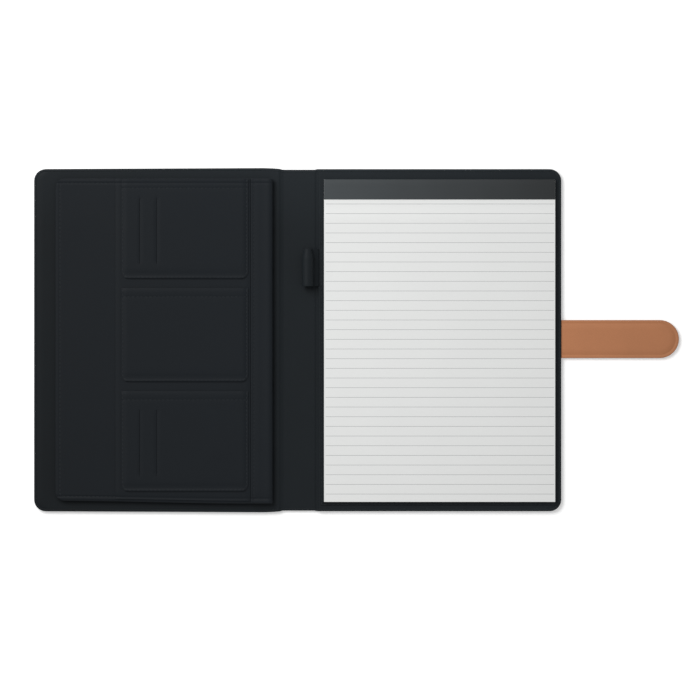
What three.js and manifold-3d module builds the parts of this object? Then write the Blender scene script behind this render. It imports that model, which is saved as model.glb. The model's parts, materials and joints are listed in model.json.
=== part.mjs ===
// Padfolio: a bound folder for a writing pad, lying open.
// Millimetres, +Z up. X runs from the front cover's fore edge to the strap's end, Y from tail to head.
// The origin is the middle of the underside.
import * as THREE from 'three';
import { mergeVertices } from 'three/addons/utils/BufferGeometryUtils.js';
import Module from 'manifold-3d';

const wasm = await Module();
wasm.setup();

// Writing pad
const padWidth = 210;
const padLength = 293;
const padBlockThickness = 2;
const padCardThickness = 0.8;
const padBandHeight = 18.6;
const padBandThickness = 0.3;
const padSheetThickness = 0.2;
const padCornerRadius = 0.8;
const padStepLength = 12;
const padStepSetback = 6;

// How far the covers stand out round the pad
const padSpineMargin = 6.7;
const padForeMargin = 5.6;
const padHeadMargin = 8.6;
const padTailMargin = 7.5;

// Layers of the covers and the spine
const skinThickness = 1;
const paddingThickness = 1;
const boardThickness = 2;
const liningThickness = 0.7;
const glueLine = 0.1;
const coverCornerRadius = 10.5;
const edgeRounding = 1.4;
const turnInWidth = 2.2;
const turnInSeam = 0.3;
const spinePitch = 32.5;
const spineEndInset = 0.4;
const hingeClearance = 0.3;
const creaseHalfWidth = 1;

// Pocket behind the pad
const padPocketThickness = 0.7;
const padPocketSeam = 1.8;
const padPocketClearance = 0.4;

// Document pocket on the front cover
const pocketForeBorder = 19.5;
const pocketHeadBorder = 8.6;
const pocketTailBorder = 7.2;
const pocketMouthBorder = 7.2;
const pocketCornerRadius = 8;
const pocketPanelThickness = 0.9;
const gussetHeight = 5;
const gussetFoldDepth = 3.5;
const gussetThickness = 1.2;
const hemWidth = 19;
const hemThickness = 0.8;

// Card panel and card pockets
const cardPanelSetback = 54;
const cardPanelThickness = 0.7;
const cardPanelEndInset = 2.6;
const cardPocketInset = 5.4;
const cardPocketHemGap = 2.4;
const cardPocketTailInset = 7.8;
const cardPocketSpacing = 9.2;
const cardPocketThickness = 0.7;
const cardPocketHollow = 0.5;
const cardPocketSeam = 1.5;
const cardPocketCornerRadius = 7;
const upperPocketHeight = 90;
const middlePocketHeight = 84;
const lowerPocketHeight = 90;
const slitLength = 60;
const slitWidth = 0.5;
const firstSlitInset = 16.7;
const slitSpacing = 15.4;
const slitDrop = 1.4;

// Pen loop
const penLoopLength = 33.9;
const penLoopHeight = 65.7;
const penBore = 8.8;
const penLoopThickness = 1;
const penTabThickness = 1;
const penTabReach = 10.1;
const penTabRise = 5.2;
const penFlangeThickness = 0.5;
const penFlangeGap = 1;

// Closing strap
const strapReach = 107;
const strapWidth = 34.4;
const strapHeight = 1;
const strapPlyThickness = 1.05;
const strapUnderside = 1.2;
const strapEdgeGap = 0.6;
const strapFoldGap = 0.15;
const strapRootLength = 25;
const strapRootThickness = 1;
const strapSlotClearance = 0.15;
const magnetDiameter = 14;
const magnetThickness = 1;
const magnetClearance = 0.1;
const platePlanSize = 26;
const plateThickness = 0.6;

// Steps in a quarter circle
const quarterSteps = 8;
const smallArcSteps = 4;

// Levels, from the underside up
const webTop = skinThickness + glueLine + liningThickness;
const paddingBottom = skinThickness + glueLine;
const coverBoardBottom = paddingBottom + paddingThickness + glueLine;
const coverLiningBottom = coverBoardBottom + boardThickness + glueLine;
const coverTop = coverLiningBottom + liningThickness;
const spineBoardBottom = skinThickness + glueLine;
const spineLiningBottom = spineBoardBottom + boardThickness + glueLine;
const spineTop = spineLiningBottom + liningThickness;
const closedHeight = spinePitch + 2 * webTop;

// Plan of the covers: both reach equally far from their crease
const coverWidth = padSpineMargin + padWidth + padForeMargin;
const coverLength = padHeadMargin + padLength + padTailMargin;
const coverHalf = coverLength / 2;
const overallLength = 2 * coverWidth + spinePitch + strapReach;
const frontForeEdge = -overallLength / 2;
const frontCrease = frontForeEdge + coverWidth;
const backCrease = frontCrease + spinePitch;
const backForeEdge = backCrease + coverWidth;
const backSlabGap = spineTop - webTop + hingeClearance;
const spineSlabGap = coverTop - webTop + hingeClearance;
const webGap = hingeClearance / 2;
const liningInset = turnInWidth + turnInSeam;
const coreInset = skinThickness + glueLine;
const lipThickness = liningThickness;

const materials = {
  skin: { color: 0x24292c, roughness: 0.62, metalness: 0 },
  lining: { color: 0x262b2e, roughness: 0.68, metalness: 0 },
  pocket: { color: 0x272c2f, roughness: 0.66, metalness: 0 },
  padding: { color: 0x8d8d88, roughness: 0.95, metalness: 0 },
  board: { color: 0x9a958b, roughness: 0.9, metalness: 0 },
  paper: { color: 0xe6e6e4, roughness: 0.85, metalness: 0 },
  band: { color: 0x45494b, roughness: 0.4, metalness: 0 },
  tan: { color: 0xb07653, roughness: 0.6, metalness: 0 },
  steel: { color: 0xa8aaac, roughness: 0.35, metalness: 1 },
};

const group = new THREE.Group();

// Adds one named sub-part in its material
function addPart(name, geometry, material) {
  const mesh = new THREE.Mesh(geometry, new THREE.MeshStandardMaterial(materials[material]));
  mesh.name = name;
  group.add(mesh);
}

// Booleans: geometry to solid and back
function solidOf(geometry) {
  const bare = geometry.clone();
  bare.deleteAttribute('normal');
  bare.deleteAttribute('uv');
  const merged = mergeVertices(bare);
  const vertProperties = new Float32Array(merged.attributes.position.array);
  const triVerts = new Uint32Array(merged.index.array);
  return new wasm.Manifold(new wasm.Mesh({ numProp: 3, vertProperties, triVerts }));
}

function geometryOf(solid) {
  const mesh = solid.getMesh();
  const geometry = new THREE.BufferGeometry();
  geometry.setAttribute('position', new THREE.BufferAttribute(new Float32Array(mesh.vertProperties), 3));
  geometry.setIndex(new THREE.BufferAttribute(new Uint32Array(mesh.triVerts), 1));
  geometry.computeVertexNormals();
  return geometry;
}

function join(first, ...others) {
  return geometryOf(others.reduce((solid, other) => solid.add(solidOf(other)), solidOf(first)));
}

function cut(body, ...tools) {
  return geometryOf(tools.reduce((solid, tool) => solid.subtract(solidOf(tool)), solidOf(body)));
}

// Box between two corners
function box(x0, x1, y0, y1, z0, z1) {
  const geometry = new THREE.BoxGeometry(x1 - x0, y1 - y0, z1 - z0);
  return geometry.translate((x0 + x1) / 2, (y0 + y1) / 2, (z0 + z1) / 2);
}

// Points along an arc, or its centre alone where the radius is nothing
function arc(x, y, radius, from, to, steps) {
  if (radius === 0) return [new THREE.Vector2(x, y)];
  const points = [];
  for (let step = 0; step <= steps; step++) {
    const angle = from + ((to - from) * step) / steps;
    points.push(new THREE.Vector2(x + radius * Math.cos(angle), y + radius * Math.sin(angle)));
  }
  return points;
}

// Rectangle with a radius at each corner: low X low Y, high X low Y, high X high Y, low X high Y
function roundedRectangle(x0, x1, y0, y1, radii) {
  const [a, b, c, d] = radii;
  return new THREE.Shape([
    ...arc(x0 + a, y0 + a, a, Math.PI, 1.5 * Math.PI, quarterSteps),
    ...arc(x1 - b, y0 + b, b, -Math.PI / 2, 0, quarterSteps),
    ...arc(x1 - c, y1 - c, c, 0, Math.PI / 2, quarterSteps),
    ...arc(x0 + d, y1 - d, d, Math.PI / 2, Math.PI, quarterSteps),
  ]);
}

// Flat plate of a plan shape between two levels
function plate(shape, z0, z1) {
  return new THREE.ExtrudeGeometry(shape, { depth: z1 - z0, bevelEnabled: false }).translate(0, 0, z0);
}

// Shape of straight lines through points
function polygon(points) {
  return new THREE.Shape(points.map(([x, y]) => new THREE.Vector2(x, y)));
}

// Prism of an X-Z profile, from y0 to y1
function prismAlongY(shape, y0, y1) {
  const settings = { depth: y1 - y0, bevelEnabled: false };
  const axes = new THREE.Matrix4().makeBasis(
    new THREE.Vector3(1, 0, 0),
    new THREE.Vector3(0, 0, 1),
    new THREE.Vector3(0, -1, 0),
  );
  return new THREE.ExtrudeGeometry(shape, settings).applyMatrix4(axes).translate(0, y1, 0);
}

// Prism of a Y-Z profile, from x0 to x1
function prismAlongX(shape, x0, x1) {
  const settings = { depth: x1 - x0, bevelEnabled: false };
  const axes = new THREE.Matrix4().makeBasis(
    new THREE.Vector3(0, 1, 0),
    new THREE.Vector3(0, 0, 1),
    new THREE.Vector3(1, 0, 0),
  );
  return new THREE.ExtrudeGeometry(shape, settings).applyMatrix4(axes).translate(x0, 0, 0);
}

// Three-sided path round a panel: along its head, round the far edge and back along its tail.
// Each point carries the direction that leads into the panel.
function threeSidedPath(nearX, farX, tailY, headY, radius) {
  const side = Math.sign(farX - nearX);
  const path = [{ x: nearX, y: headY, inX: 0, inY: -1 }];
  for (const end of [1, -1]) {
    const centreX = farX - side * radius;
    const centreY = end > 0 ? headY - radius : tailY + radius;
    for (let step = 0; step <= quarterSteps; step++) {
      const share = end > 0 ? step / quarterSteps : 1 - step / quarterSteps;
      const turn = (share * Math.PI) / 2;
      const outX = side * Math.sin(turn);
      const outY = end * Math.cos(turn);
      path.push({ x: centreX + radius * outX, y: centreY + radius * outY, inX: -outX, inY: -outY });
    }
  }
  path.push({ x: nearX, y: tailY, inX: 0, inY: 1 });
  return side > 0 ? path : path.reverse();
}

// Wall swept along a path. The profile's points are [distance into the panel, level], anticlockwise.
function sweptWall(path, profile) {
  const positions = [];
  for (const point of path) {
    for (const [inset, level] of profile) {
      positions.push(point.x + point.inX * inset, point.y + point.inY * inset, level);
    }
  }
  const count = profile.length;
  const index = [];
  for (let ring = 0; ring < path.length - 1; ring++) {
    for (let corner = 0; corner < count; corner++) {
      const next = (corner + 1) % count;
      const a = ring * count + corner;
      const b = a + count;
      const c = (ring + 1) * count + next;
      const d = ring * count + next;
      index.push(a, b, c, a, c, d);
    }
  }
  const outline = profile.map(([inset, level]) => new THREE.Vector2(inset, level));
  const last = (path.length - 1) * count;
  for (const [a, b, c] of THREE.ShapeUtils.triangulateShape(outline, [])) {
    index.push(a, b, c, last + a, last + c, last + b);
  }
  const geometry = new THREE.BufferGeometry();
  geometry.setAttribute('position', new THREE.Float32BufferAttribute(positions, 3));
  geometry.setIndex(index);
  geometry.computeVertexNormals();
  return geometry;
}

// Profile of the skin's turned-up edge: round outside, and turned in over the board at the top
function turnedEdgeProfile(top) {
  const profile = [];
  for (let step = 0; step <= smallArcSteps; step++) {
    const turn = (step / smallArcSteps) * (Math.PI / 2);
    profile.push([edgeRounding * (1 - Math.sin(turn)), top - edgeRounding * (1 - Math.cos(turn))]);
  }
  for (let step = 0; step <= smallArcSteps; step++) {
    const turn = (step / smallArcSteps) * (Math.PI / 2);
    profile.push([edgeRounding * (1 - Math.cos(turn)), edgeRounding * (1 - Math.sin(turn))]);
  }
  profile.push([turnInWidth, 0]);
  profile.push([turnInWidth, skinThickness]);
  profile.push([skinThickness, skinThickness]);
  profile.push([skinThickness, top - lipThickness]);
  profile.push([turnInWidth, top - lipThickness]);
  profile.push([turnInWidth, top]);
  return profile;
}

// Turns a piece made for the back cover round to the front one, and sets it at its crease
function atBackCrease(geometry) {
  return geometry.translate(backCrease, 0, 0);
}

function atFrontCrease(geometry) {
  return geometry.rotateZ(Math.PI).translate(frontCrease, 0, 0);
}

// Outline of a layer inside a cover, measured from the crease
function coverOutline(nearX, inset) {
  const radius = coverCornerRadius - inset;
  const half = coverHalf - inset;
  return roundedRectangle(nearX, coverWidth - inset, -half, half, [0, radius, radius, 0]);
}

// Outer skin of a cover: a sheet to the crease, with its other three edges turned up and in
function coverSkin(slabGap) {
  const path = threeSidedPath(slabGap, coverWidth, -coverHalf, coverHalf, coverCornerRadius);
  const edge = sweptWall(path, turnedEdgeProfile(coverTop));
  const sheet = plate(coverOutline(webGap, edgeRounding), 0, skinThickness);
  return join(edge, sheet);
}

// Lining of a cover: over the board, down its spine side and out to the crease
function coverLining(slabGap) {
  const half = coverHalf - liningInset;
  const overlap = 2 * liningThickness;
  const step = polygon([
    [webGap, webTop - liningThickness],
    [slabGap + liningThickness, webTop - liningThickness],
    [slabGap + liningThickness, coverLiningBottom],
    [slabGap + overlap, coverLiningBottom],
    [slabGap + overlap, coverTop],
    [slabGap, coverTop],
    [slabGap, webTop],
    [webGap, webTop],
  ]);
  const flat = plate(coverOutline(slabGap + liningThickness, liningInset), coverLiningBottom, coverTop);
  return join(prismAlongY(step, -half, half), flat);
}

// Board or padding of a cover, inside its skin
function coverCore(slabGap, z0, z1) {
  return plate(coverOutline(slabGap + liningThickness + glueLine, coreInset), z0, z1);
}

// Strap root and slot, in the plan of the back cover
const strapLow = strapHeight - strapWidth / 2;
const strapHigh = strapHeight + strapWidth / 2;

// Room for the strap's root between skin and board, and through the skin's turned-up edge
function strapRootSpace() {
  const x0 = backForeEdge - strapRootLength - strapSlotClearance;
  const x1 = backForeEdge + strapSlotClearance;
  const y0 = strapLow - strapSlotClearance;
  const y1 = strapHigh + strapSlotClearance;
  return box(x0, x1, y0, y1, skinThickness, paddingBottom + strapRootThickness + glueLine);
}

function addBackCover() {
  addPart('back_skin', cut(atBackCrease(coverSkin(backSlabGap)), strapRootSpace()), 'skin');
  const padding = atBackCrease(coverCore(backSlabGap, paddingBottom, paddingBottom + paddingThickness));
  addPart('back_padding', cut(padding, strapRootSpace()), 'padding');
  const board = coverCore(backSlabGap, coverBoardBottom, coverBoardBottom + boardThickness);
  addPart('back_board', atBackCrease(board), 'board');
  addPart('back_lining', atBackCrease(coverLining(backSlabGap)), 'lining');
  addPart('strap_root', strapRoot(), 'tan');
}

// Tongue of the strap, thinned to fit behind the skin and ending just outside the edge
function strapRoot() {
  const z0 = paddingBottom;
  const end = backForeEdge + strapEdgeGap - strapFoldGap;
  return box(backForeEdge - strapRootLength, end, strapLow, strapHigh, z0, z0 + strapRootThickness);
}

function addSpine() {
  const half = coverHalf - spineEndInset;
  const slabLow = frontCrease + spineSlabGap;
  const slabHigh = backCrease - creaseHalfWidth;
  addPart('spine_skin', spineSkin(slabLow, slabHigh, half), 'skin');
  const coreLow = slabLow + liningThickness + glueLine;
  const coreHigh = slabHigh - liningThickness - glueLine;
  const coreHalf = half - coreInset;
  const board = box(coreLow, coreHigh, -coreHalf, coreHalf, spineBoardBottom, spineBoardBottom + boardThickness);
  addPart('spine_board', board, 'board');
  addPart('spine_lining', spineLining(slabLow, slabHigh, half - liningInset), 'lining');
}

// Skin of the spine, its head and tail turned up and in over the board
function spineSkin(slabLow, slabHigh, half) {
  const profile = turnedEdgeProfile(spineTop);
  const head = [
    { x: slabLow, y: half, inX: 0, inY: -1 },
    { x: slabHigh, y: half, inX: 0, inY: -1 },
  ];
  const tail = [
    { x: slabHigh, y: -half, inX: 0, inY: 1 },
    { x: slabLow, y: -half, inX: 0, inY: 1 },
  ];
  const sheetHalf = half - edgeRounding;
  const sheet = box(frontCrease + webGap, backCrease - webGap, -sheetHalf, sheetHalf, 0, skinThickness);
  return join(sheet, sweptWall(head, profile), sweptWall(tail, profile));
}

// Lining of the spine: crease to crease, up and over the board between
function spineLining(slabLow, slabHigh, half) {
  const low = frontCrease + webGap;
  const high = backCrease - webGap;
  const profile = polygon([
    [low, webTop - liningThickness],
    [slabLow + liningThickness, webTop - liningThickness],
    [slabLow + liningThickness, spineLiningBottom],
    [slabHigh - liningThickness, spineLiningBottom],
    [slabHigh - liningThickness, webTop - liningThickness],
    [high, webTop - liningThickness],
    [high, webTop],
    [slabHigh, webTop],
    [slabHigh, spineTop],
    [slabLow, spineTop],
    [slabLow, webTop],
    [low, webTop],
  ]);
  return prismAlongY(profile, -half, half);
}

// Levels of the front cover's pockets
const gussetBottom = coverTop + glueLine;
const gussetTop = gussetBottom + gussetHeight;
const panelBottom = gussetTop + glueLine;
const panelTop = panelBottom + pocketPanelThickness;
const cardPanelBottom = panelTop + glueLine;
const cardPanelTop = cardPanelBottom + cardPanelThickness;
const cardPocketBottom = cardPanelTop + glueLine;

// Plan of the document pocket
const pocketFar = frontForeEdge + pocketForeBorder;
const pocketMouth = frontCrease - pocketMouthBorder;
const pocketTail = -coverHalf + pocketTailBorder;
const pocketHead = coverHalf - pocketHeadBorder;
const hemSeam = pocketMouth - hemWidth;

function addFrontCover() {
  const gap = creaseHalfWidth;
  addPart('front_skin', atFrontCrease(coverSkin(gap)), 'skin');
  const padding = atFrontCrease(coverCore(gap, paddingBottom, paddingBottom + paddingThickness));
  addPart('front_padding', cut(padding, closurePlate(glueLine)), 'padding');
  const board = coverCore(gap, coverBoardBottom, coverBoardBottom + boardThickness);
  addPart('front_board', atFrontCrease(board), 'board');
  addPart('closure_plate', closurePlate(0), 'steel');
  addPart('front_lining', atFrontCrease(coverLining(gap)), 'lining');
}

// Steel plate let into the padding where the strap's magnet comes down when the folder is shut
function closurePlate(clearance) {
  const half = platePlanSize / 2 + clearance;
  const x = frontForeEdge + closedMagnetInset;
  const z0 = paddingBottom - clearance;
  const z1 = paddingBottom + plateThickness + clearance;
  return box(x - half, x + half, strapHeight - half, strapHeight + half, z0, z1);
}

function addDocumentPocket() {
  addGusset();
  const radii = [pocketCornerRadius, 0, 0, pocketCornerRadius];
  const outline = roundedRectangle(pocketFar, pocketMouth, pocketTail, pocketHead, radii);
  addPart('pocket_panel', plate(outline, panelBottom, panelTop), 'pocket');
  addPart('mouth_hem', mouthHem(), 'pocket');
}

// Gusset strip round the pocket's tail, fore edge and head, mitred in the middle of its corners
function addGusset() {
  const path = threeSidedPath(pocketMouth, pocketFar, pocketTail, pocketHead, pocketCornerRadius);
  const mitre = 1 + quarterSteps / 2;
  const last = path.length - 1 - mitre;
  const profile = gussetProfile();
  addPart('gusset_tail', sweptWall(path.slice(0, mitre + 1), profile), 'pocket');
  addPart('gusset_fore', sweptWall(path.slice(mitre, last + 1), profile), 'pocket');
  addPart('gusset_head', sweptWall(path.slice(last), profile), 'pocket');
}

// One inward fold of the gusset, from the lining up to the panel
function gussetProfile() {
  const middle = (gussetBottom + gussetTop) / 2;
  return [
    [0, gussetBottom],
    [gussetThickness, gussetBottom],
    [gussetThickness + gussetFoldDepth, middle],
    [gussetThickness, gussetTop],
    [0, gussetTop],
    [gussetFoldDepth, middle],
  ];
}

// Binding strip along the pocket's mouth, folded over the panel's edge
function mouthHem() {
  const inner = pocketMouth + glueLine;
  const profile = new THREE.Shape([
    new THREE.Vector2(hemSeam, cardPanelBottom),
    new THREE.Vector2(inner, cardPanelBottom),
    new THREE.Vector2(inner, panelBottom),
    new THREE.Vector2(inner + hemThickness, panelBottom),
    ...arc(inner, cardPanelBottom, hemThickness, 0, Math.PI / 2, smallArcSteps),
    new THREE.Vector2(hemSeam, cardPanelBottom + hemThickness),
  ]);
  return prismAlongY(profile, pocketTail, pocketHead);
}

// Plan of the card panel and its pockets
const cardPanelEdge = pocketFar + cardPanelSetback;
const cardPocketLeft = cardPanelEdge + cardPocketInset;
const cardPocketRight = hemSeam - cardPocketHemGap;
const lowerPocketTail = pocketTail + cardPanelEndInset + cardPocketTailInset;
const middlePocketTail = lowerPocketTail + lowerPocketHeight + cardPocketSpacing;
const upperPocketTail = middlePocketTail + middlePocketHeight + cardPocketSpacing;

function addCardPockets() {
  const tail = pocketTail + cardPanelEndInset;
  const head = pocketHead;
  const end = hemSeam - hingeClearance;
  addPart('card_panel', box(cardPanelEdge, end, tail, head, cardPanelBottom, cardPanelTop), 'pocket');
  addPart('card_pocket_upper', cardPocket(upperPocketTail, upperPocketHeight, true), 'pocket');
  addPart('card_pocket_middle', cardPocket(middlePocketTail, middlePocketHeight, false), 'pocket');
  addPart('card_pocket_lower', cardPocket(lowerPocketTail, lowerPocketHeight, true), 'pocket');
}

// Patch sewn down on three sides and open at the head, with two card slits if it has any
function cardPocket(tail, height, hasSlits) {
  const head = tail + height;
  const floor = cardPocketBottom + cardPocketHollow;
  const top = floor + cardPocketThickness;
  const radii = [cardPocketCornerRadius, cardPocketCornerRadius, 0, 0];
  const patch = plate(roundedRectangle(cardPocketLeft, cardPocketRight, tail, head, radii), cardPocketBottom, top);
  const inLeft = cardPocketLeft + cardPocketSeam;
  const inRight = cardPocketRight - cardPocketSeam;
  const past = head + cardPocketSeam;
  const inside = box(inLeft, inRight, tail + cardPocketSeam, past, cardPocketBottom - glueLine, floor);
  const slits = hasSlits ? cardSlits(tail + height / 2 - slitDrop, floor - glueLine, top + glueLine) : [];
  return cut(patch, inside, ...slits);
}

function cardSlits(middle, z0, z1) {
  return [0, 1].map((slit) => {
    const x = cardPocketLeft + firstSlitInset + slit * slitSpacing;
    return box(x - slitWidth / 2, x + slitWidth / 2, middle - slitLength / 2, middle + slitLength / 2, z0, z1);
  });
}

// Pen loop: a ring on a two-ply tab that hinges where it is sewn down, and the tab's sewn end
const penSeamX = backCrease + backSlabGap + hingeClearance;
const penSeamZ = coverTop + hingeClearance;

function addPenLoop() {
  const y0 = penLoopHeight - penLoopLength / 2;
  const y1 = penLoopHeight + penLoopLength / 2;
  addPart('pen_loop_band', prismAlongY(penLoopProfile(), y0, y1), 'lining');
  addPart('pen_loop_flange', penLoopFlange(0), 'lining');
}

// Sewn end of the tab, under the seam of the pocket behind the pad
function penLoopFlange(clearance) {
  const x0 = penSeamX + penFlangeGap;
  const x1 = padPocketInnerLow - turnInSeam + clearance;
  const y0 = penLoopHeight - penLoopLength / 2 - clearance;
  const y1 = penLoopHeight + penLoopLength / 2 + clearance;
  const z0 = coverTop + glueLine;
  return box(x0, x1, y0, y1, z0 - clearance, z0 + penFlangeThickness + clearance);
}

function penLoopProfile() {
  const inner = penBore / 2;
  const outer = inner + penLoopThickness;
  const centre = new THREE.Vector2(penSeamX - penTabReach, penSeamZ + penTabRise);
  const seam = new THREE.Vector2(penSeamX, penSeamZ);
  const along = centre.clone().sub(seam).normalize();
  const across = new THREE.Vector2(along.y, -along.x).multiplyScalar(penTabThickness / 2);
  const start = seam.clone().addScaledVector(along, hingeClearance);
  const back = Math.atan2(-along.y, -along.x);
  const spread = Math.asin(penTabThickness / 2 / outer);
  const turn = 2 * Math.PI;
  const steps = 4 * quarterSteps;
  const shape = new THREE.Shape([
    start.clone().sub(across),
    start.clone().add(across),
    ...arc(centre.x, centre.y, outer, back + spread, back - spread + turn, steps),
  ]);
  shape.holes.push(new THREE.Path(arc(centre.x, centre.y, inner, 0, turn - turn / steps, steps - 1)));
  return shape;
}

// Pocket behind the pad: a sheet sewn down on three sides, open below the pad's head band
const padLow = backCrease + padSpineMargin;
const padHigh = padLow + padWidth;
const padTail = -coverHalf + padTailMargin;
const padHead = padTail + padLength;
const bandEdge = padHead - padBandHeight;
const bandBottom = coverTop + glueLine;
const cardBottom = bandBottom + padBandThickness + glueLine;
const cardTop = cardBottom + padCardThickness;
const padPocketBottom = cardTop + glueLine;
const padPocketTop = padPocketBottom + padPocketThickness;
const padPocketMouth = bandEdge - padStepSetback - padStepLength;
const padPocketInnerLow = padLow - padPocketClearance;

function addPadPocket() {
  const innerHigh = padHigh + padPocketClearance;
  const innerTail = padTail - padPocketClearance;
  const x0 = padPocketInnerLow - padPocketSeam;
  const x1 = innerHigh + padPocketSeam;
  const z0 = coverTop + glueLine;
  const sheet = box(x0, x1, innerTail - padPocketSeam, padPocketMouth, z0, padPocketTop);
  const past = padPocketMouth + padPocketSeam;
  const inside = box(padPocketInnerLow, innerHigh, innerTail, past, z0 - glueLine, padPocketBottom);
  addPart('pad_pocket', cut(sheet, inside, penLoopFlange(glueLine)), 'lining');
}

// Writing pad: its sheets step up over the pocket's mouth
const blockHeadBottom = cardTop + glueLine;
const blockRise = padPocketTop + glueLine - blockHeadBottom;
const blockHeadTop = blockHeadBottom + padBlockThickness;

function addPad() {
  const radii = [padCornerRadius, padCornerRadius, 0, 0];
  const card = roundedRectangle(padLow, padHigh, padTail, padHead, radii);
  addPart('backing_card', plate(card, cardBottom, cardTop), 'board');
  const block = steppedSheets(padHead, blockHeadBottom, padBlockThickness);
  addPart('paper_block', prismAlongX(block, padLow, padHigh), 'paper');
  addPart('head_band', prismAlongX(headBandProfile(), padLow, padHigh), 'band');
  const sheetBottom = blockHeadTop + glueLine;
  const sheet = steppedSheets(bandEdge - hingeClearance, sheetBottom, padSheetThickness);
  addPart('top_sheet', prismAlongX(sheet, padLow, padHigh), 'paper');
}

// Side profile of sheets that lie lower at the head and step up over the pocket behind the pad
function steppedSheets(head, headBottom, thickness) {
  const stepHigh = padPocketMouth + hingeClearance;
  const stepLow = stepHigh + padStepLength;
  const raised = headBottom + blockRise;
  return polygon([
    [padTail, raised],
    [stepHigh, raised],
    [stepLow, headBottom],
    [head, headBottom],
    [head, headBottom + thickness],
    [stepLow, headBottom + thickness],
    [stepHigh, raised + thickness],
    [padTail, raised + thickness],
  ]);
}

// Head band: a strip round the pad's head, over the sheets and under the card
function headBandProfile() {
  const top = blockHeadTop + glueLine;
  const inner = padHead + glueLine;
  return polygon([
    [bandEdge, bandBottom],
    [inner + padBandThickness, bandBottom],
    [inner + padBandThickness, top + padBandThickness],
    [bandEdge, top + padBandThickness],
    [bandEdge, top],
    [inner, top],
    [inner, bandBottom + padBandThickness],
    [bandEdge, bandBottom + padBandThickness],
  ]);
}

// Closing strap: two plies, folding once at the cover's edge and once over the shut covers
const strapTop = strapUnderside + 2 * strapPlyThickness + glueLine;
const firstFold = backForeEdge + strapEdgeGap;
const riserLength = closedHeight + hingeClearance - strapTop;
const secondFold = firstFold + riserLength;
const strapEnd = backForeEdge + strapReach;
const magnetX = strapEnd - strapWidth / 2;
const closedMagnetInset = magnetX - secondFold - strapEdgeGap;

function addStrap() {
  const lowerTop = strapUnderside + strapPlyThickness;
  const upperBottom = lowerTop + glueLine;
  const riserLow = firstFold + strapFoldGap;
  const riserHigh = secondFold - strapFoldGap;
  const riserPly = (z0, z1) => box(riserLow, riserHigh, strapLow, strapHigh, z0, z1);
  addPart('strap_riser_lower_ply', riserPly(strapUnderside, lowerTop), 'tan');
  addPart('strap_riser_upper_ply', riserPly(upperBottom, strapTop), 'tan');
  const seat = magnet(magnetClearance);
  addPart('strap_tip_lower_ply', cut(strapTipPly(strapUnderside, lowerTop), seat), 'tan');
  addPart('strap_tip_upper_ply', cut(strapTipPly(upperBottom, strapTop), seat), 'tan');
  addPart('strap_magnet', magnet(0), 'steel');
}

function strapTipPly(z0, z1) {
  const radius = strapWidth / 2;
  const low = secondFold + strapFoldGap;
  const outline = new THREE.Shape([
    new THREE.Vector2(low, strapLow),
    ...arc(strapEnd - radius, strapHeight, radius, -Math.PI / 2, Math.PI / 2, 3 * quarterSteps),
    new THREE.Vector2(low, strapHigh),
  ]);
  return plate(outline, z0, z1);
}

// Disc magnet, half in each ply
function magnet(clearance) {
  const radius = magnetDiameter / 2 + clearance;
  const middle = strapUnderside + strapPlyThickness + glueLine / 2;
  const disc = new THREE.CylinderGeometry(radius, radius, magnetThickness + 2 * clearance, 4 * quarterSteps);
  return disc.rotateX(Math.PI / 2).translate(magnetX, strapHeight, middle);
}

addBackCover();
addSpine();
addFrontCover();
addDocumentPocket();
addCardPockets();
addPenLoop();
addPadPocket();
addPad();
addStrap();

export default group;
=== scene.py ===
import contextlib
import functools
import json
import math

import bmesh
import bpy
from mathutils import Matrix, Vector


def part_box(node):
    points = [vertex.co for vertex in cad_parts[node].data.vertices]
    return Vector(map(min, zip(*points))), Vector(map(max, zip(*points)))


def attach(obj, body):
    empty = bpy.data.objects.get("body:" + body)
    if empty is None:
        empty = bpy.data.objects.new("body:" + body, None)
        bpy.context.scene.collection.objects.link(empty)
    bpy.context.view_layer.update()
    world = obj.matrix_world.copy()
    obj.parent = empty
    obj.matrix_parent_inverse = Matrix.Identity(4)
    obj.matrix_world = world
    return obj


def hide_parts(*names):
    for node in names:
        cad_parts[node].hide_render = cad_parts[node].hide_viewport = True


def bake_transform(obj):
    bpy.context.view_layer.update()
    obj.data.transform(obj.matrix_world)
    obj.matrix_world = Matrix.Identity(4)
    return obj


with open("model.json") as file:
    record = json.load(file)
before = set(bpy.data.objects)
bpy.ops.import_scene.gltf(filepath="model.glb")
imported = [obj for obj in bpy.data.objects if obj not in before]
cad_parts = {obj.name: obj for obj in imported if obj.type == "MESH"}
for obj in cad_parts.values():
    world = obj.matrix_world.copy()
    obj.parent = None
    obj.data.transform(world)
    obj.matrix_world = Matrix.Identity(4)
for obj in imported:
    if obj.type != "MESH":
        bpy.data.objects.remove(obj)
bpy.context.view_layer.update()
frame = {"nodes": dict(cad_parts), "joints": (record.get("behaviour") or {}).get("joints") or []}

bl_info = {
    "name": "Padfolio",
    "version": (1, 0, 0),
    "blender": (4, 5, 0),
    "location": "3D View > Sidebar > Padfolio",
    "description": "Dresses a padfolio's frame with its hides, pockets, pad, strap and stitching",
    "category": "Object",
}

MM = 0.001
QUARTER = math.pi / 2
CORNER_STEPS = 7
FULL_GREY = 255


@functools.cache
def corners(node):
    return tuple(tuple(corner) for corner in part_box(node))


def box(node):
    """Low and high corner of a CAD node's box"""
    return [Vector(corner) for corner in corners(node)]


def low(node):
    return box(node)[0]


def high(node):
    return box(node)[1]


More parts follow.
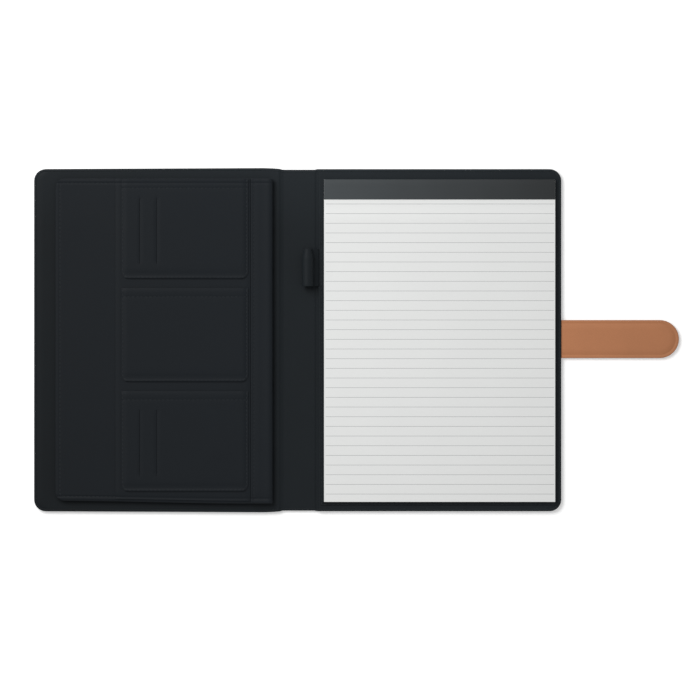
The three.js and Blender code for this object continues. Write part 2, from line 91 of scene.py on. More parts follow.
# Places that come from the frame
JOINTS = {joint["name"]: joint for joint in frame["joints"]}
BACK_CREASE = JOINTS["back_hinge"]["pos_m"][0]
FRONT_CREASE = JOINTS["front_hinge"]["pos_m"][0]
FIRST_FOLD = JOINTS["strap_first_fold"]["pos_m"][0]
SECOND_FOLD = JOINTS["strap_second_fold"]["pos_m"][0]
MID_SPINE = (BACK_CREASE + FRONT_CREASE) / 2
MID_RISER = (FIRST_FOLD + SECOND_FOLD) / 2
COVER_TOP = high("back_lining").z
SPINE_TOP = high("spine_lining").z

# Covers
BACK_EDGE = high("back_skin").x
FRONT_EDGE = low("front_skin").x - 0.4 * MM
COVER_REACH = high("back_skin").y + 0.4 * MM
SPINE_REACH = high("spine_skin").y + 0.25 * MM
COVER_RADIUS = 10.5 * MM
TURN_IN = 2.2 * MM
LINING_INSET = TURN_IN + 0.06 * MM
EDGE_STEPS = 5
HIDE_ROWS = 24
PAST_MIDDLE = 3 * MM
CREASE_REACH = 6 * MM
CREASE_FLOOR = 3.5 * MM
COVER_SWELL = 1.05 * MM
SWELL_REACH = 230 * MM
SLOT_ROOM = 0.1 * MM
SLOT_FLOOR = 1.02 * MM

# Document pocket; its sections are insets or distances across, and levels, in millimetres
POCKET_RADIUS = 8 * MM
POCKET_TRIM = 0.02 * MM
TAIL_DRAWN = 2.5 * MM
RIM_SEAM = 3.9 * MM
RIM_DEPTH = 0.34 * MM
PANEL_SEAMS = (0.3, 0.8, 1.3, 1.8, 2.3, 2.9, 3.5, 4.1, 4.7, 5.3, 5.9, 6.5)
GUSSET_RISE = 5
GUSSET_SECTION = (
    (4.4, 0.0), (1.2, 0.02), (0.35, 0.1), (0.15, 0.3), (0.8, 0.7), (2.4, 1.6), (3.4, 2.2), (3.7, 2.5),
    (3.4, 2.8), (2.4, 3.4), (0.8, 4.3), (0.15, 4.7), (0.35, 4.9), (1.2, 4.98), (4.4, 5.0),
)
HEM_TURN = 10.5
HEM_SECTION = (
    (0, 11.72), (0.5, 11.9), (1.1, 11.98), (2.4, 11.8), (3.2, 11.8), (4.4, 12.0), (8, 12.04), (11.5, 12.1),
    (14, 12.38), (15.8, 12.52), (17.2, 12.42), (18.4, 12.08), (19.3, 11.5), (19.65, 10.95),
    (19.5, 10.45), (18.9, 10.15), (17.4, 10.05),
)

# Card pockets
CARD_RADIUS = 7 * MM
CARD_SEAM = 1.4 * MM
CARD_HEM = 8 * MM
CARD_SEAMS = (0.4, 0.9, 1.4, 1.9, 2.4, 2.9, 3.4, 3.9, 5, 6.5, 8)
MOUTH_RISE = 0.9 * MM
SLITS = (16.7 * MM, 32.1 * MM)
SLIT_HALF = 0.13 * MM
SLIT_REACH = 30 * MM
SLIT_DROP = 1.4 * MM

# Pen loop
LOOP_RADIUS = 5.4 * MM
LOOP_WALL = 1 * MM
LOOP_LIP = 0.22 * MM
TAB_HALF = 0.5 * MM
TAB_FILLET = 1.8 * MM
TAB_STEPS = 6
RING_STEPS = 40
PINCH_REACH = 9 * MM

# Pad
PAD_TRIM_LOW = Vector((0.8, 0.75, 0)) * MM
PAD_TRIM_HIGH = Vector((0.1, 0.8, 0)) * MM
SLEEVE_SEAM = 0.75 * MM
SLEEVE_SEAMS = (0.2, 0.4, 0.6, 0.75, 0.9, 1.1, 1.35, 1.6, 1.85, 2.1, 4)
RULES = 30
BAND_BEND = 0.75 * MM
BAND_FLAT = 6 * MM
BAND_WALL = 0.26 * MM

# Strap; its painted edge is told by the number of a face round its section
STRAP_CORNER = 0.32 * MM
STRAP_END_STEPS = 20
STRAP_RISE = 0.9 * MM
PAINTED = range(3, 10)

# Finishes and stage
# Painted light: the runs of painted light and shade along X on the leathers and the strap reach this far each way
# from the middle
PAINTED_LIGHT_REACH = 300 * MM
# Painted highlight on the covers and pockets: it rises along Y from the first place along to the second, and across
# X it is full at the second place across and gone past the first
PAINTED_HIGHLIGHT_ALONG = (102 * MM, 158 * MM)
PAINTED_HIGHLIGHT_ACROSS = (150 * MM, 0)
FLOOR_HALF = 6.0
FLOOR_LEVEL = -0.05 * MM
FLOOR_FADE = {"From Min": 0.37, "From Max": 0.9, "To Min": 0.33, "To Max": 1}
AMBIENT = 0.43
LAMP_PLACE = (-0.72, 0.68, 1.25)
LAMP_SIZE = 1.0
LAMP_POWER = 20
VIEW_ACROSS = 633.9 * MM
VIEW_MIDDLE = (-6.3 * MM, -8.9 * MM)
VIEW_LEVEL = 5 * MM


def tint(red, green, blue):
    """Linear colour of a display colour given from 0 to 255"""

    def channel(value):
        share = value / FULL_GREY
        return share / 12.92 if share <= 0.04045 else ((share + 0.055) / 1.055) ** 2.4

    return channel(red), channel(green), channel(blue)


def length(label, millimetres, description):
    return bpy.props.FloatProperty(
        name=label, description=description, default=millimetres * MM, min=0, precision=5, unit="LENGTH"
    )


def colour(label, display, description):
    return bpy.props.FloatVectorProperty(
        name=label, description=description, default=tint(*display), min=0, max=1, subtype="COLOR"
    )


# Share of a run of painted light or painted highlight on a finish
def shade(label, share, description):
    description += "; 0 gives an even colour"
    return bpy.props.FloatProperty(
        name=label, description=description, default=share, min=-1, max=1, subtype="FACTOR"
    )


class PadfolioSizes(bpy.types.PropertyGroup):
    """Sizes of the soft parts and their seams"""

    hide: length("Hide thickness", 0.7, "Thickness of the outer hide")
    lining: length("Lining thickness", 0.7, "Thickness of the lining and of the pockets' sheets")
    rounding: length("Cut edge rounding", 0.16, "Rounding of the sheets' cut edges")
    edge_radius: length("Cover edge radius", 1.4, "Radius of the hide where it turns round the board")
    ripple: length("Ripple", 0.22, "Height of the soft waves in the pockets")
    pitch: length("Stitch pitch", 3.8, "Distance from one stitch to the next")
    stitch: length("Stitch length", 2.7, "Length of one stitch")
    thread: length("Thread width", 0.55, "Width of the sewing thread")
    rule_pitch: length("Rule pitch", 8.75, "Distance between the rules on the paper")
    rule_width: length("Rule width", 0.3, "Width of one rule")
    grain: length("Grain size", 0.75, "Size of one pebble of the leatherette's grain")
    grain_depth: length("Grain depth", 0.05, "Depth of the leatherette's grain")
    sheets: bpy.props.IntProperty(
        name="Sheet bundles", description="Bundles of paper under the top sheet", default=10, min=1
    )


class PadfolioColours(bpy.types.PropertyGroup):
    """Colours of the finishes, and the runs of painted light and painted highlight over the object"""

    hide: colour("Hide", (29, 33, 36), "Outer leatherette")
    lining: colour("Lining", (26, 30, 33), "Inner leatherette")
    pocket: colour("Pockets", (23, 27, 31), "Leatherette of the pockets")
    thread: colour("Thread", (32, 36, 39), "Sewing thread")
    tan: colour("Strap", (198, 132, 90), "Grained face of the strap")
    tan_edge: colour("Strap edge", (142, 88, 54), "Painted edge of the strap")
    paper: colour("Paper", (225, 226, 225), "Writing paper")
    rule: colour("Rules", (132, 134, 136), "Printed rules")
    band: colour("Head band", (44, 48, 50), "Paper strip round the pad's head")
    card: colour("Card", (150, 143, 130), "Greyboard of the stiffeners and of the pad's back")
    foam: colour("Padding", (120, 120, 116), "Thin foam under the hide")
    steel: colour("Steel", (172, 174, 176), "Magnet and closing plate")
    floor: colour("Floor", (240, 240, 240), "Floor and surroundings")
    # Painted light: these shares run the finishes lighter or darker along X and lighter at the head, standing in for
    # how light, sheen and reflection fall
    hide_painted_light: shade("Hide shade", 0.4, "How much lighter the hide is towards the strap")
    lining_painted_light: shade("Lining shade", 0.42, "How much lighter the lining is towards the strap")
    pocket_painted_light: shade("Pocket shade", 0.33, "How much lighter the pockets are towards the strap")
    strap_painted_light: shade("Strap shade", -0.35, "How much lighter the strap is towards its end")
    band_painted_reflection: shade("Head band shade", -0.55, "How much lighter the head band is towards the strap")
    head_painted_highlight: shade("Head shade", 0.42, "How much lighter the covers are at the head")
    pocket_head_painted_highlight: shade("Pocket head shade", 0.14, "How much lighter the pockets are at the head")


# Node trees and finishes


class Value:
    """A node's socket that takes part in Python expressions"""

    def __init__(self, tree, socket):
        self.tree = tree
        self.socket = socket

    def sum(self, operation, *inputs):
        node = self.tree.node("ShaderNodeMath", {"operation": operation}, dict(enumerate(inputs)))
        return Value(self.tree, node.outputs[0])

    def __add__(self, other):
        return self.sum("ADD", self, other)

    __radd__ = __add__

    def __mul__(self, other):
        return self.sum("MULTIPLY", self, other)

    __rmul__ = __mul__

    def __sub__(self, other):
        return self.sum("SUBTRACT", self, other)

    def __rsub__(self, other):
        return self.sum("SUBTRACT", other, self)

    def __truediv__(self, other):
        return self.sum("DIVIDE", self, other)

    def __abs__(self):
        return self.sum("ABSOLUTE", self)

    def fraction(self):
        return self.sum("FRACT", self)

    def less(self, limit):
        return self.sum("LESS_THAN", self, limit)

    def above(self, limit):
        return self.sum("GREATER_THAN", self, limit)

    def larger(self, other):
        return self.sum("MAXIMUM", self, other)


class Tree:
    """A node tree, emptied, which every node is added to in the same way"""

    def __init__(self, tree):
        self.tree = tree
        tree.nodes.clear()

    def node(self, kind, settings=None, sockets=None):
        node = self.tree.nodes.new(kind)
        for key, setting in (settings or {}).items():
            setattr(node, key, setting)
        self.set(node, sockets or {})
        return node

    def set(self, node, sockets):
        """Gives sockets a number, a colour, a value, another socket or the first output of a node"""
        for key, given in sockets.items():
            target = node.inputs[key]
            if isinstance(given, bpy.types.Node):
                given = given.outputs[0]
            if isinstance(given, Value):
                given = given.socket
            if isinstance(given, bpy.types.NodeSocket):
                self.tree.links.new(given, target)
            elif target.type == "RGBA" and len(given) == 3:
                target.default_value = (*given, 1)
            else:
                target.default_value = given

    def seen(self):
        """1 where a ray comes from the camera, or by way of metal or glass"""
        rays = self.node("ShaderNodeLightPath").outputs
        camera, metal, glass = (Value(self, rays[f"Is {ray} Ray"]) for ray in ("Camera", "Glossy", "Transmission"))
        return camera.larger(metal).larger(glass)


class Finish(Tree):
    """A material whose pattern lies on a piece as it is at rest, or on a CAD node that keeps its solid"""

    def __init__(self, name, roughness, specular=0.5, metallic=0.0, carried=False):
        self.material = bpy.data.materials.new(name)
        self.material.use_nodes = True
        super().__init__(self.material.node_tree)
        self.roughness = roughness
        sockets = {"Roughness": roughness, "Specular IOR Level": specular, "Metallic": metallic}
        self.shader = self.node("ShaderNodeBsdfPrincipled", sockets=sockets)
        self.node("ShaderNodeOutputMaterial", sockets={"Surface": self.shader})
        if carried:
            self.place = self.node("ShaderNodeTexCoord").outputs["Object"]
        else:
            self.place = self.node("ShaderNodeAttribute", {"attribute_name": "rest"}).outputs["Vector"]

    def noise(self, size, detail=2.0, stretch=None):
        place = self.place
        if stretch:
            place = self.node("ShaderNodeVectorMath", {"operation": "MULTIPLY"}, {0: place, 1: stretch})
        sockets = {"Vector": place, "Scale": 1 / size, "Detail": detail}
        return Value(self, self.node("ShaderNodeTexNoise", sockets=sockets).outputs["Fac"])

    def pebbles(self, size):
        sockets = {"Vector": self.place, "Scale": 1 / size, "Smoothness": 0.6}
        return Value(self, self.node("ShaderNodeTexVoronoi", {"feature": "SMOOTH_F1"}, sockets).outputs["Distance"])

    def across(self, axis):
        return Value(self, self.node("ShaderNodeSeparateXYZ", sockets={0: self.place}).outputs[axis])

    def share(self, axis, start, end):
        """0 at one place along an axis and before it, 1 at another and past it"""
        node = self.node("ShaderNodeClamp", sockets={0: (self.across(axis) - start) / (end - start)})
        return Value(self, node.outputs[0])

    def mixed(self, share, first, second, blend="MIX"):
        settings = {"data_type": "RGBA", "blend_type": blend}
        return self.node("ShaderNodeMix", settings, {"Factor": share, "A": first, "B": second}).outputs["Result"]

    def times(self, base, share, first, last):
        """Base colour multiplied by a grey that runs from the first value to the last"""
        return self.mixed(1, base, self.mixed(share, [first] * 3, [last] * 3), "MULTIPLY")

    def painted_light_run(self, base, lean, start, end):
        """Base colour made deeper at one place in X and lighter at another: a painted run of light and shade"""
        return self.times(base, self.share(0, start, end), 1 - lean, 1 + lean)

    def shaded(self, share, base, spread):
        """Base colour that runs from darker to lighter as the share goes from 0 to 1"""
        dark = [channel * (1 - spread) for channel in base]
        light = [min(1, channel * (1 + spread)) for channel in base]
        return self.mixed(share, dark, light)

    def done(self, base, height, depth, strength=1.0, spread=0, share=None):
        """Gives the shader its colour, its relief and, where the roughness has a spread, that round its middle"""
        bump = self.node("ShaderNodeBump", sockets={"Height": height, "Distance": depth, "Strength": strength})
        self.set(self.shader, {"Base Color": base, "Normal": bump})
        if spread:
            self.set(self.shader, {"Roughness": (share - 0.5) * spread + self.roughness})
        return self.material


def sizes():
    return bpy.context.scene.padfolio_sizes


def colours():
    return bpy.context.scene.padfolio_colours


def leather(name, base, roughness, specular, grain_share, lean, rise=0.0):
    """Grained leatherette: pebbles with fine pores and slow patches, with painted light that runs along X and a
    painted highlight at its head
    """
    finish = Finish(name, roughness, specular)
    grain, depth = sizes().grain, sizes().grain_depth * grain_share
    pebble = finish.pebbles(grain)
    pore = finish.noise(grain * 0.4, 3)
    patch = finish.noise(32 * MM, 3)
    tone = patch * 0.55 + pebble * 0.3 + pore * 0.25
    # Painted light: the leather's colour is run lighter or darker along X
    body = finish.painted_light_run(finish.shaded(tone, base, 0.2), lean, -PAINTED_LIGHT_REACH, PAINTED_LIGHT_REACH)
    # Painted highlight: the colour is made lighter towards the head by the share rise
    painted_head_highlight = finish.share(1, *PAINTED_HIGHLIGHT_ALONG) * finish.share(0, *PAINTED_HIGHLIGHT_ACROSS)
    return finish.done(finish.times(body, painted_head_highlight, 1, 1 + rise), pore * 0.25 - pebble, depth, 0.7, 0.16, patch)


def cloth_thread(name, base):
    """Twisted sewing thread"""
    finish = Finish(name, 0.75, 0.2)
    twist = (finish.across(0) + finish.across(1)) * (1 / (0.5 * MM))
    band = abs(twist.fraction() - 0.5) * 2
    return finish.done(finish.shaded(band, base, 0.25), band, 0.04 * MM)


def ruled_paper(name, base, rule, start, end, first, last):
    """Writing paper, ruled between two places in X and from the first rule to the last"""
    finish = Finish(name, 0.85, 0.25)
    across, along = finish.across(0), finish.across(1)
    pitch = sizes().rule_pitch
    turn = ((first - along) / pitch + 0.5).fraction() - 0.5
    line = (abs(turn) * pitch).less(sizes().rule_width / 2)
    inside = across.above(start) * across.less(end)
    ruled = along.less(first + pitch / 2) * along.above(last - pitch / 2)
    fibre = finish.noise(0.4 * MM, 3)
    tone = fibre * 0.5 + finish.noise(45 * MM, 2) * 0.5
    printed = finish.mixed(line * inside * ruled * 0.9, finish.shaded(tone, base, 0.03), rule)
    return finish.done(printed, fibre, 0.012 * MM, 1.0, 0.08, fibre)


def board_card(name, base, carried=True):
    """Pressed greyboard, flecked with fibre"""
    finish = Finish(name, 0.92, 0.15, carried=carried)
    fibre = finish.noise(0.5 * MM, 4, (0.35, 1, 1))
    fleck = finish.shaded(fibre * 0.7 + finish.noise(9 * MM) * 0.3, base, 0.22)
    return finish.done(fleck, fibre, 0.04 * MM, 1.0, 0.08, fibre)


def foam(name, base):
    """Thin foam with open cells"""
    finish = Finish(name, 0.95, 0.1, carried=True)
    cell = finish.pebbles(0.4 * MM)
    return finish.done(finish.shaded(cell, base, 0.3), cell, 0.1 * MM, 1.0, 0.08, cell)


def brushed_steel(name, base):
    """Plated steel with fine brush marks"""
    finish = Finish(name, 0.35, metallic=1.0, carried=True)
    brush = finish.noise(0.3 * MM, 3, (1, 0.05, 1))
    return finish.done(finish.shaded(brush, base, 0.08), brush, 0.004 * MM, 1.0, 0.15, brush)


def bound_strip(name, base, start, end):
    """Glazed paper strip with a faint cloth emboss, and a painted reflection that runs from its first end to its
    last
    """
    finish = Finish(name, 0.42, 0.25)
    first, second = (abs((finish.across(axis) / (0.45 * MM)).fraction() - 0.5) for axis in (0, 1))
    weave = first + second
    patch = finish.noise(26 * MM, 3)
    tone = finish.shaded(patch * 0.7 + weave * 0.3, base, 0.1)
    # Painted reflection: the strip's colour runs lighter or darker from its first end to its last
    return finish.done(finish.painted_light_run(tone, colours().band_painted_reflection, start, end), weave, 0.015 * MM, 0.5, 0.1, patch)


def edge_paint(name, base):
    """Painted cut edge: smooth, with slight brush runs"""
    finish = Finish(name, 0.45, 0.4)
    run = finish.noise(2.5 * MM, 3, (0.3, 0.3, 3))
    return finish.done(finish.shaded(run, base, 0.12), run, 0.05 * MM, 1.0, 0.1, run)


def made(name, maker, *values):
    """The finish of that name, made the first time that it is asked for"""
    return bpy.data.materials.get(name) or maker(name, *values)


def hide_finish():
    given = colours()
    return made("hide_leatherette", leather, given.hide, 0.55, 0.07, 1.0, given.hide_painted_light, given.head_painted_highlight)


def lining_finish():
    given = colours()
    return made("lining_leatherette", leather, given.lining, 0.55, 0.07, 0.7, given.lining_painted_light, given.head_painted_highlight)


def pocket_finish():
    given = colours()
    shades = (given.pocket_painted_light, given.pocket_head_painted_highlight)
    return made("pocket_leatherette", leather, given.pocket, 0.55, 0.08, 0.7, *shades)


# Mesh building


def ramp(place, start, end):
    """0 at the start, 1 at the end, and a smooth rise between them"""
    share = min(1, max(0, (place - start) / (end - start)))
    return share * share * (3 - 2 * share)


def dip(distance, width):
    """Cross-section of a groove: 1 in its middle, 0 past its width"""
    return 1 - ramp(abs(distance), 0, width)


def quarter(steps, first=0):
    """Sine and cosine along a quarter circle, in even steps"""
    angles = [QUARTER * step / steps for step in range(first, steps + 1)]
    return [(math.sin(angle), math.cos(angle)) for angle in angles]


def places(marks, step):
    """Grid lines at the marks, and evenly between marks that lie further apart than the step"""
    ordered = []
    for mark in sorted(marks):
        if not ordered or mark - ordered[-1] > 0.05 * MM:
            ordered.append(mark)
    result = ordered[:1]
    for start, end in zip(ordered, ordered[1:]):
        count = max(1, math.ceil((end - start) / step - 0.01))
        result += [start + (end - start) * (number + 1) / count for number in range(count)]
    return result


def from_edge(edge, insets, side=1):
    """Grid lines at insets, in millimetres, from an edge"""
    return [edge + side * inset * MM for inset in insets]


def round_marks(edge, radius, side):
    """Grid lines that follow a round corner which starts at an edge"""
    return [edge + side * radius * (1 - cosine) for _, cosine in quarter(CORNER_STEPS)]


def corner_inset(distance, radius):
    if radius == 0 or distance >= radius:
        return 0
    return radius - math.sqrt(max(0, radius**2 - (radius - distance) ** 2))


def linked(name, data):
    piece = bpy.data.objects.new(name, data)
    bpy.context.scene.collection.objects.link(piece)
    return piece


def piece_from(name, points, faces, *finishes, edges=()):
    mesh = bpy.data.meshes.new(name)
    mesh.from_pydata(points, edges, faces)
    for finish in finishes:
        mesh.materials.append(finish)
    return linked(name, mesh)


def rounded_sheet(name, columns, rows, level, finish, radii=(0, 0, 0, 0), skip=None):
    """Sheet over a grid with round corners, seen from above: low X low Y, high X low Y, high high, low high"""
    x0, x1, y0, y1 = columns[0], columns[-1], rows[0], rows[-1]
    points = []
    for y in rows:
        left = x0 + max(corner_inset(y - y0, radii[0]), corner_inset(y1 - y, radii[3]))
        right = x1 - max(corner_inset(y - y0, radii[1]), corner_inset(y1 - y, radii[2]))
        for x in columns:
            place = left + (right - left) * (x - x0) / (x1 - x0)
            points.append((place, y, level(place, y)))
    faces = []
    width = len(columns)
    for row, ys in enumerate(zip(rows, rows[1:])):
        for column, xs in enumerate(zip(columns, columns[1:])):
            if skip and skip(sum(xs) / 2, sum(ys) / 2):
                continue
            first = row * width + column
            faces.append((first, first + 1, first + 1 + width, first + width))
    return piece_from(name, points, faces, finish)


def loft_faces(rings, count, start=0, flip=False):
    """Faces between rings of points that are numbered one ring after the other"""
    faces = []
    for ring in range(rings - 1):
        for corner in range(count - 1):
            first = start + ring * count + corner
            face = (first, first + count, first + count + 1, first + 1)
            faces.append(face[::-1] if flip else face)
    return faces


def thicken(piece, thickness, rounding=0):
    wall = piece.modifiers.new("Thickness", "SOLIDIFY")
    wall.thickness = thickness
    wall.offset = -1
    if rounding:
        edge = piece.modifiers.new("Rounding", "BEVEL")
        edge.width = rounding
        edge.segments = 2
        edge.limit_method = "ANGLE"
        edge.angle_limit = math.radians(50)
    return piece


@contextlib.contextmanager
def opened(mesh):
    """A mesh opened for work on its shell, and written back after it"""
    shell = bmesh.new()
    shell.from_mesh(mesh)
    yield shell
    shell.to_mesh(mesh)
    shell.free()


def sliced(shell, place, away, **options):
    everything = shell.verts[:] + shell.edges[:] + shell.faces[:]
    return bmesh.ops.bisect_plane(shell, geom=everything, plane_co=place, plane_no=away, **options)


def weld(piece, outward=False):
    """Joins points that meet, and turns the faces of a closed shell outwards"""
    with opened(piece.data) as shell:
        bmesh.ops.remove_doubles(shell, verts=shell.verts, dist=0.002 * MM)
        bmesh.ops.dissolve_degenerate(shell, edges=shell.edges, dist=0.001 * MM)
        if outward:
            bmesh.ops.recalc_face_normals(shell, faces=shell.faces)
    return piece


def trim(mesh, side):
    """Cuts a mesh off square at the middle of the spine, and closes the cut"""
    with opened(mesh) as shell:
        cut = sliced(shell, (MID_SPINE, 0, 0), (-side, 0, 0), clear_outer=True)
        rim = [part for part in cut["geom_cut"] if isinstance(part, bmesh.types.BMEdge)]
        bmesh.ops.holes_fill(shell, edges=rim)


def evaluated(piece):
    """New mesh of an object with its modifiers"""
    bpy.context.view_layer.update()
    return bpy.data.meshes.new_from_object(piece.evaluated_get(bpy.context.evaluated_depsgraph_get()))


def settle(piece, crisp=40, trim_side=0):
    """Makes the modifiers part of the mesh, and notes each point's place at rest for the materials"""
    mesh = evaluated(piece)
    piece.modifiers.clear()
    piece.data = mesh
    mesh.name = piece.name
    if trim_side:
        trim(mesh, trim_side)
    mesh.shade_smooth()
    mesh.set_sharp_from_angle(angle=math.radians(crisp))
    rest = mesh.attributes.get("rest") or mesh.attributes.new("rest", "FLOAT_VECTOR", "POINT")
    rest.data.foreach_set("vector", [part for point in mesh.vertices for part in point.co])
    return piece


def crossing(piece):
    """Makes the placement part of the mesh of a piece that crosses the crease between two bodies, between two places
    in X
    """
    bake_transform(piece)


# Shapes that several parts follow


def beside(x, crease, start, end):
    """Ramp between two distances, in millimetres, from a crease"""
    return ramp(x, crease + start * MM, crease + end * MM)


def inside_level(x):
    """Level of the covers' and the spine's inside face, with its valleys at the two creases"""
    if x > MID_SPINE:
        fall, rise = beside(x, BACK_CREASE, -1.5, 1.1), beside(x, BACK_CREASE, 0.9, 3.2)
        return SPINE_TOP + (CREASE_FLOOR - SPINE_TOP) * fall + (COVER_TOP - CREASE_FLOOR) * rise
    drop = (COVER_TOP - SPINE_TOP) * beside(x, FRONT_CREASE, -1.5, 3.6)
    return COVER_TOP - drop - 0.2 * MM * dip(x - FRONT_CREASE - 0.6 * MM, 2 * MM)


def half_length(x):
    """Reach of the hide towards head and tail: eased out a little beside the pocket's mouth"""
    swell = COVER_SWELL * max(0, 1 - (FRONT_CREASE - x) / SWELL_REACH)
    swell *= 1 - beside(x, FRONT_CREASE, -13, 5)
    in_spine = beside(x, FRONT_CREASE, -0.5, 2.5) * (1 - beside(x, BACK_CREASE, -1.5, 1.5))
    return COVER_REACH + swell - (COVER_REACH - SPINE_REACH) * in_spine


def pocket_box(node="pocket_panel"):
    """Box of a layer of the document pocket, its tail end a hair inside its solid's"""
    start, end = box(node)
    start.y += POCKET_TRIM
    return start, end


def ripple(x, y):
    """Slow soft waves that the pocket's layers share"""
    across, along = x / MM, y / MM
    wave = math.sin(across / 23 + along / 61) * math.sin(along / 31 - across / 97 + 0.8)
    wave += 0.5 * math.sin(along / 15 + across / 37) * math.sin(across / 19 + 1.3)
    start, end = box("pocket_panel")
    seam = dip(end.y - y - RIM_SEAM, 1.6 * MM) + dip(y - start.y - POCKET_TRIM - RIM_SEAM, 2 * MM)
    return sizes().ripple * 0.5 * (wave / 1.5 + 1) - RIM_DEPTH * seam


def eased(x, y):
    """Place in Y once the pocket's tail edge is drawn in towards the fore edge"""
    start, end = box("pocket_panel")
    drawn = TAIL_DRAWN * (1 - ramp(x, start.x, end.x - 20 * MM))
    return y + drawn * (1 - ramp(y, start.y, start.y + 16 * MM))


def ease_tail(piece):
    for point in piece.data.vertices:
        point.co.y = eased(point.co.x, point.co.y)
    return piece


# Hides and linings


def edge_section(level, radius):
    """Section of the hide's turned edge: from the end of its turn-in, round the board's edge, to its underside"""
    bend = min(radius, 0.49 * level)
    section = [(TURN_IN, level)]
    section += [(bend * (1 - sine), level - bend * (1 - cosine)) for sine, cosine in quarter(EDGE_STEPS)]
    section += [(bend * (1 - cosine), bend * (1 - sine)) for sine, cosine in quarter(EDGE_STEPS)]
    return section + [(TURN_IN, 0)]


def crease_marks(crease):
    return places([crease - CREASE_REACH, crease + CREASE_REACH], 0.35 * MM)


def hide_half(name, crease, fore):
    """Outer hide from the middle of the spine to a fore edge, turned up and in round three sides"""
    side = 1 if fore > crease else -1
    centre_x, centre_y = fore - side * COVER_RADIUS, COVER_REACH - COVER_RADIUS
    xs = places([MID_SPINE - side * PAST_MIDDLE, centre_x] + crease_marks(crease), 9 * MM)[::side]
    head = [(x, half_length(x), 0, -1) for x in xs]
    for sine, cosine in quarter(CORNER_STEPS, 1):
        across = side * sine
        head.append((centre_x + COVER_RADIUS * across, centre_y + COVER_RADIUS * cosine, -across, -cosine))
    rows = [1 - 2 * row / HIDE_ROWS for row in range(HIDE_ROWS + 1)]
    straight = [(fore, centre_y * row, -side, 0) for row in rows[1:-1]]
    tail = [(x, -y, in_x, -in_y) for x, y, in_x, in_y in reversed(head)]
    path = head + straight + tail
    points = []
    for x, y, in_x, in_y in path:
        for inset, level in edge_section(inside_level(x), sizes().edge_radius):
            points.append((x + in_x * inset, y + in_y * inset, level))
    start, count = len(points), len(points) // len(path)
    faces = loft_faces(len(path), count, flip=side < 0)
    for x, y, _ in points[count - 1 : len(head) * count : count]:
        points += [(x, y * row, 0) for row in rows]
    faces += loft_faces(len(head), len(rows), start, side < 0)
    piece = weld(piece_from(name, points, faces, hide_finish()))
    return thicken(piece, sizes().hide, sizes().rounding)


def lining_half(name, crease, fore):
    """Lining from the middle of the spine to a fore edge, let in beside the hide's turn-in"""
    side = 1 if fore > crease else -1
    radius, reach = COVER_RADIUS - LINING_INSET, COVER_REACH - LINING_INSET
    ends = [MID_SPINE - side * PAST_MIDDLE, fore - side * LINING_INSET]
    columns = places(ends + crease_marks(crease), 7 * MM)
    rows = places(round_marks(-reach, radius, 1) + round_marks(reach, radius, -1), 9 * MM)
    radii = (0, radius, radius, 0) if side > 0 else (radius, 0, 0, radius)
    piece = rounded_sheet(name, columns, rows, lambda x, y: inside_level(x), lining_finish(), radii)
    for point in piece.data.vertices:
        point.co.y *= (half_length(point.co.x) - LINING_INSET) / reach
    return thicken(piece, sizes().lining, sizes().rounding)


def strap_slot(piece):
    """Cuts the slot for the strap in the back hide's edge"""
    xs = (BACK_EDGE - 4 * MM, BACK_EDGE + 2 * MM)
    ys = (low("strap_root").y - SLOT_ROOM, high("strap_root").y + SLOT_ROOM)
    zs = (SLOT_FLOOR, high("strap_tip_upper_ply").z + SLOT_ROOM)
    points = [Vector((x, y, z)) for x in xs for y in ys for z in zs]
    sides = [(0, 1, 3, 2), (4, 6, 7, 5), (0, 4, 5, 1), (2, 3, 7, 6), (0, 2, 6, 4), (1, 5, 7, 3)]
    cutter = weld(piece_from("slot_cutter", points, sides), outward=True)
    slot = piece.modifiers.new("Slot", "BOOLEAN")
    slot.object = cutter
    slot.solver = "EXACT"
    settle(piece)
    bpy.data.objects.remove(cutter)


class PADFOLIO_OT_hides(bpy.types.Operator):
    """Outer hides, each over one cover and half the spine"""

    bl_idname = "padfolio.hides"
    bl_label = "Outer hides"

    def execute(self, context):
        back = settle(hide_half("hide_back", BACK_CREASE, BACK_EDGE), trim_side=1)
        strap_slot(back)
        crossing(back)
        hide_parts("back_skin", "spine_skin")
        front = settle(hide_half("hide_front", FRONT_CREASE, FRONT_EDGE), trim_side=-1)
        crossing(front)
        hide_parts("front_skin", "spine_skin")
        return {"FINISHED"}


class PADFOLIO_OT_linings(bpy.types.Operator):
    """Inner linings, each over one cover and half the spine"""

    bl_idname = "padfolio.linings"
    bl_label = "Linings"

    def execute(self, context):
        back = settle(lining_half("lining_back", BACK_CREASE, BACK_EDGE), trim_side=1)
        crossing(back)
        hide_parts("back_lining", "spine_lining")
        front = settle(lining_half("lining_front", FRONT_CREASE, FRONT_EDGE), trim_side=-1)
        crossing(front)
        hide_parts("front_lining", "spine_lining")
        return {"FINISHED"}


# Document pocket


def rim_rows():
    """Grid lines across the seams beside the pocket's head and tail edges"""
    start, end = box("pocket_panel")
    steps = [RIM_SEAM + number * 0.5 * MM for number in range(-4, 5)]
    return [start.y + POCKET_TRIM + step for step in steps] + [end.y - step for step in steps]


def panel_level(x, y):
    """Top of the document pocket's panel: eased down along its three sewn sides"""
    start, end = box("pocket_panel")
    edge = min(x - start.x, y - start.y - POCKET_TRIM, end.y - y)
    fall = 0.35 * MM * (1 - ramp(edge, 0, 1.7 * MM))
    return end.z + ripple(x, y) - fall - 0.1 * MM * dip(x - start.x - RIM_SEAM, 1.5 * MM)


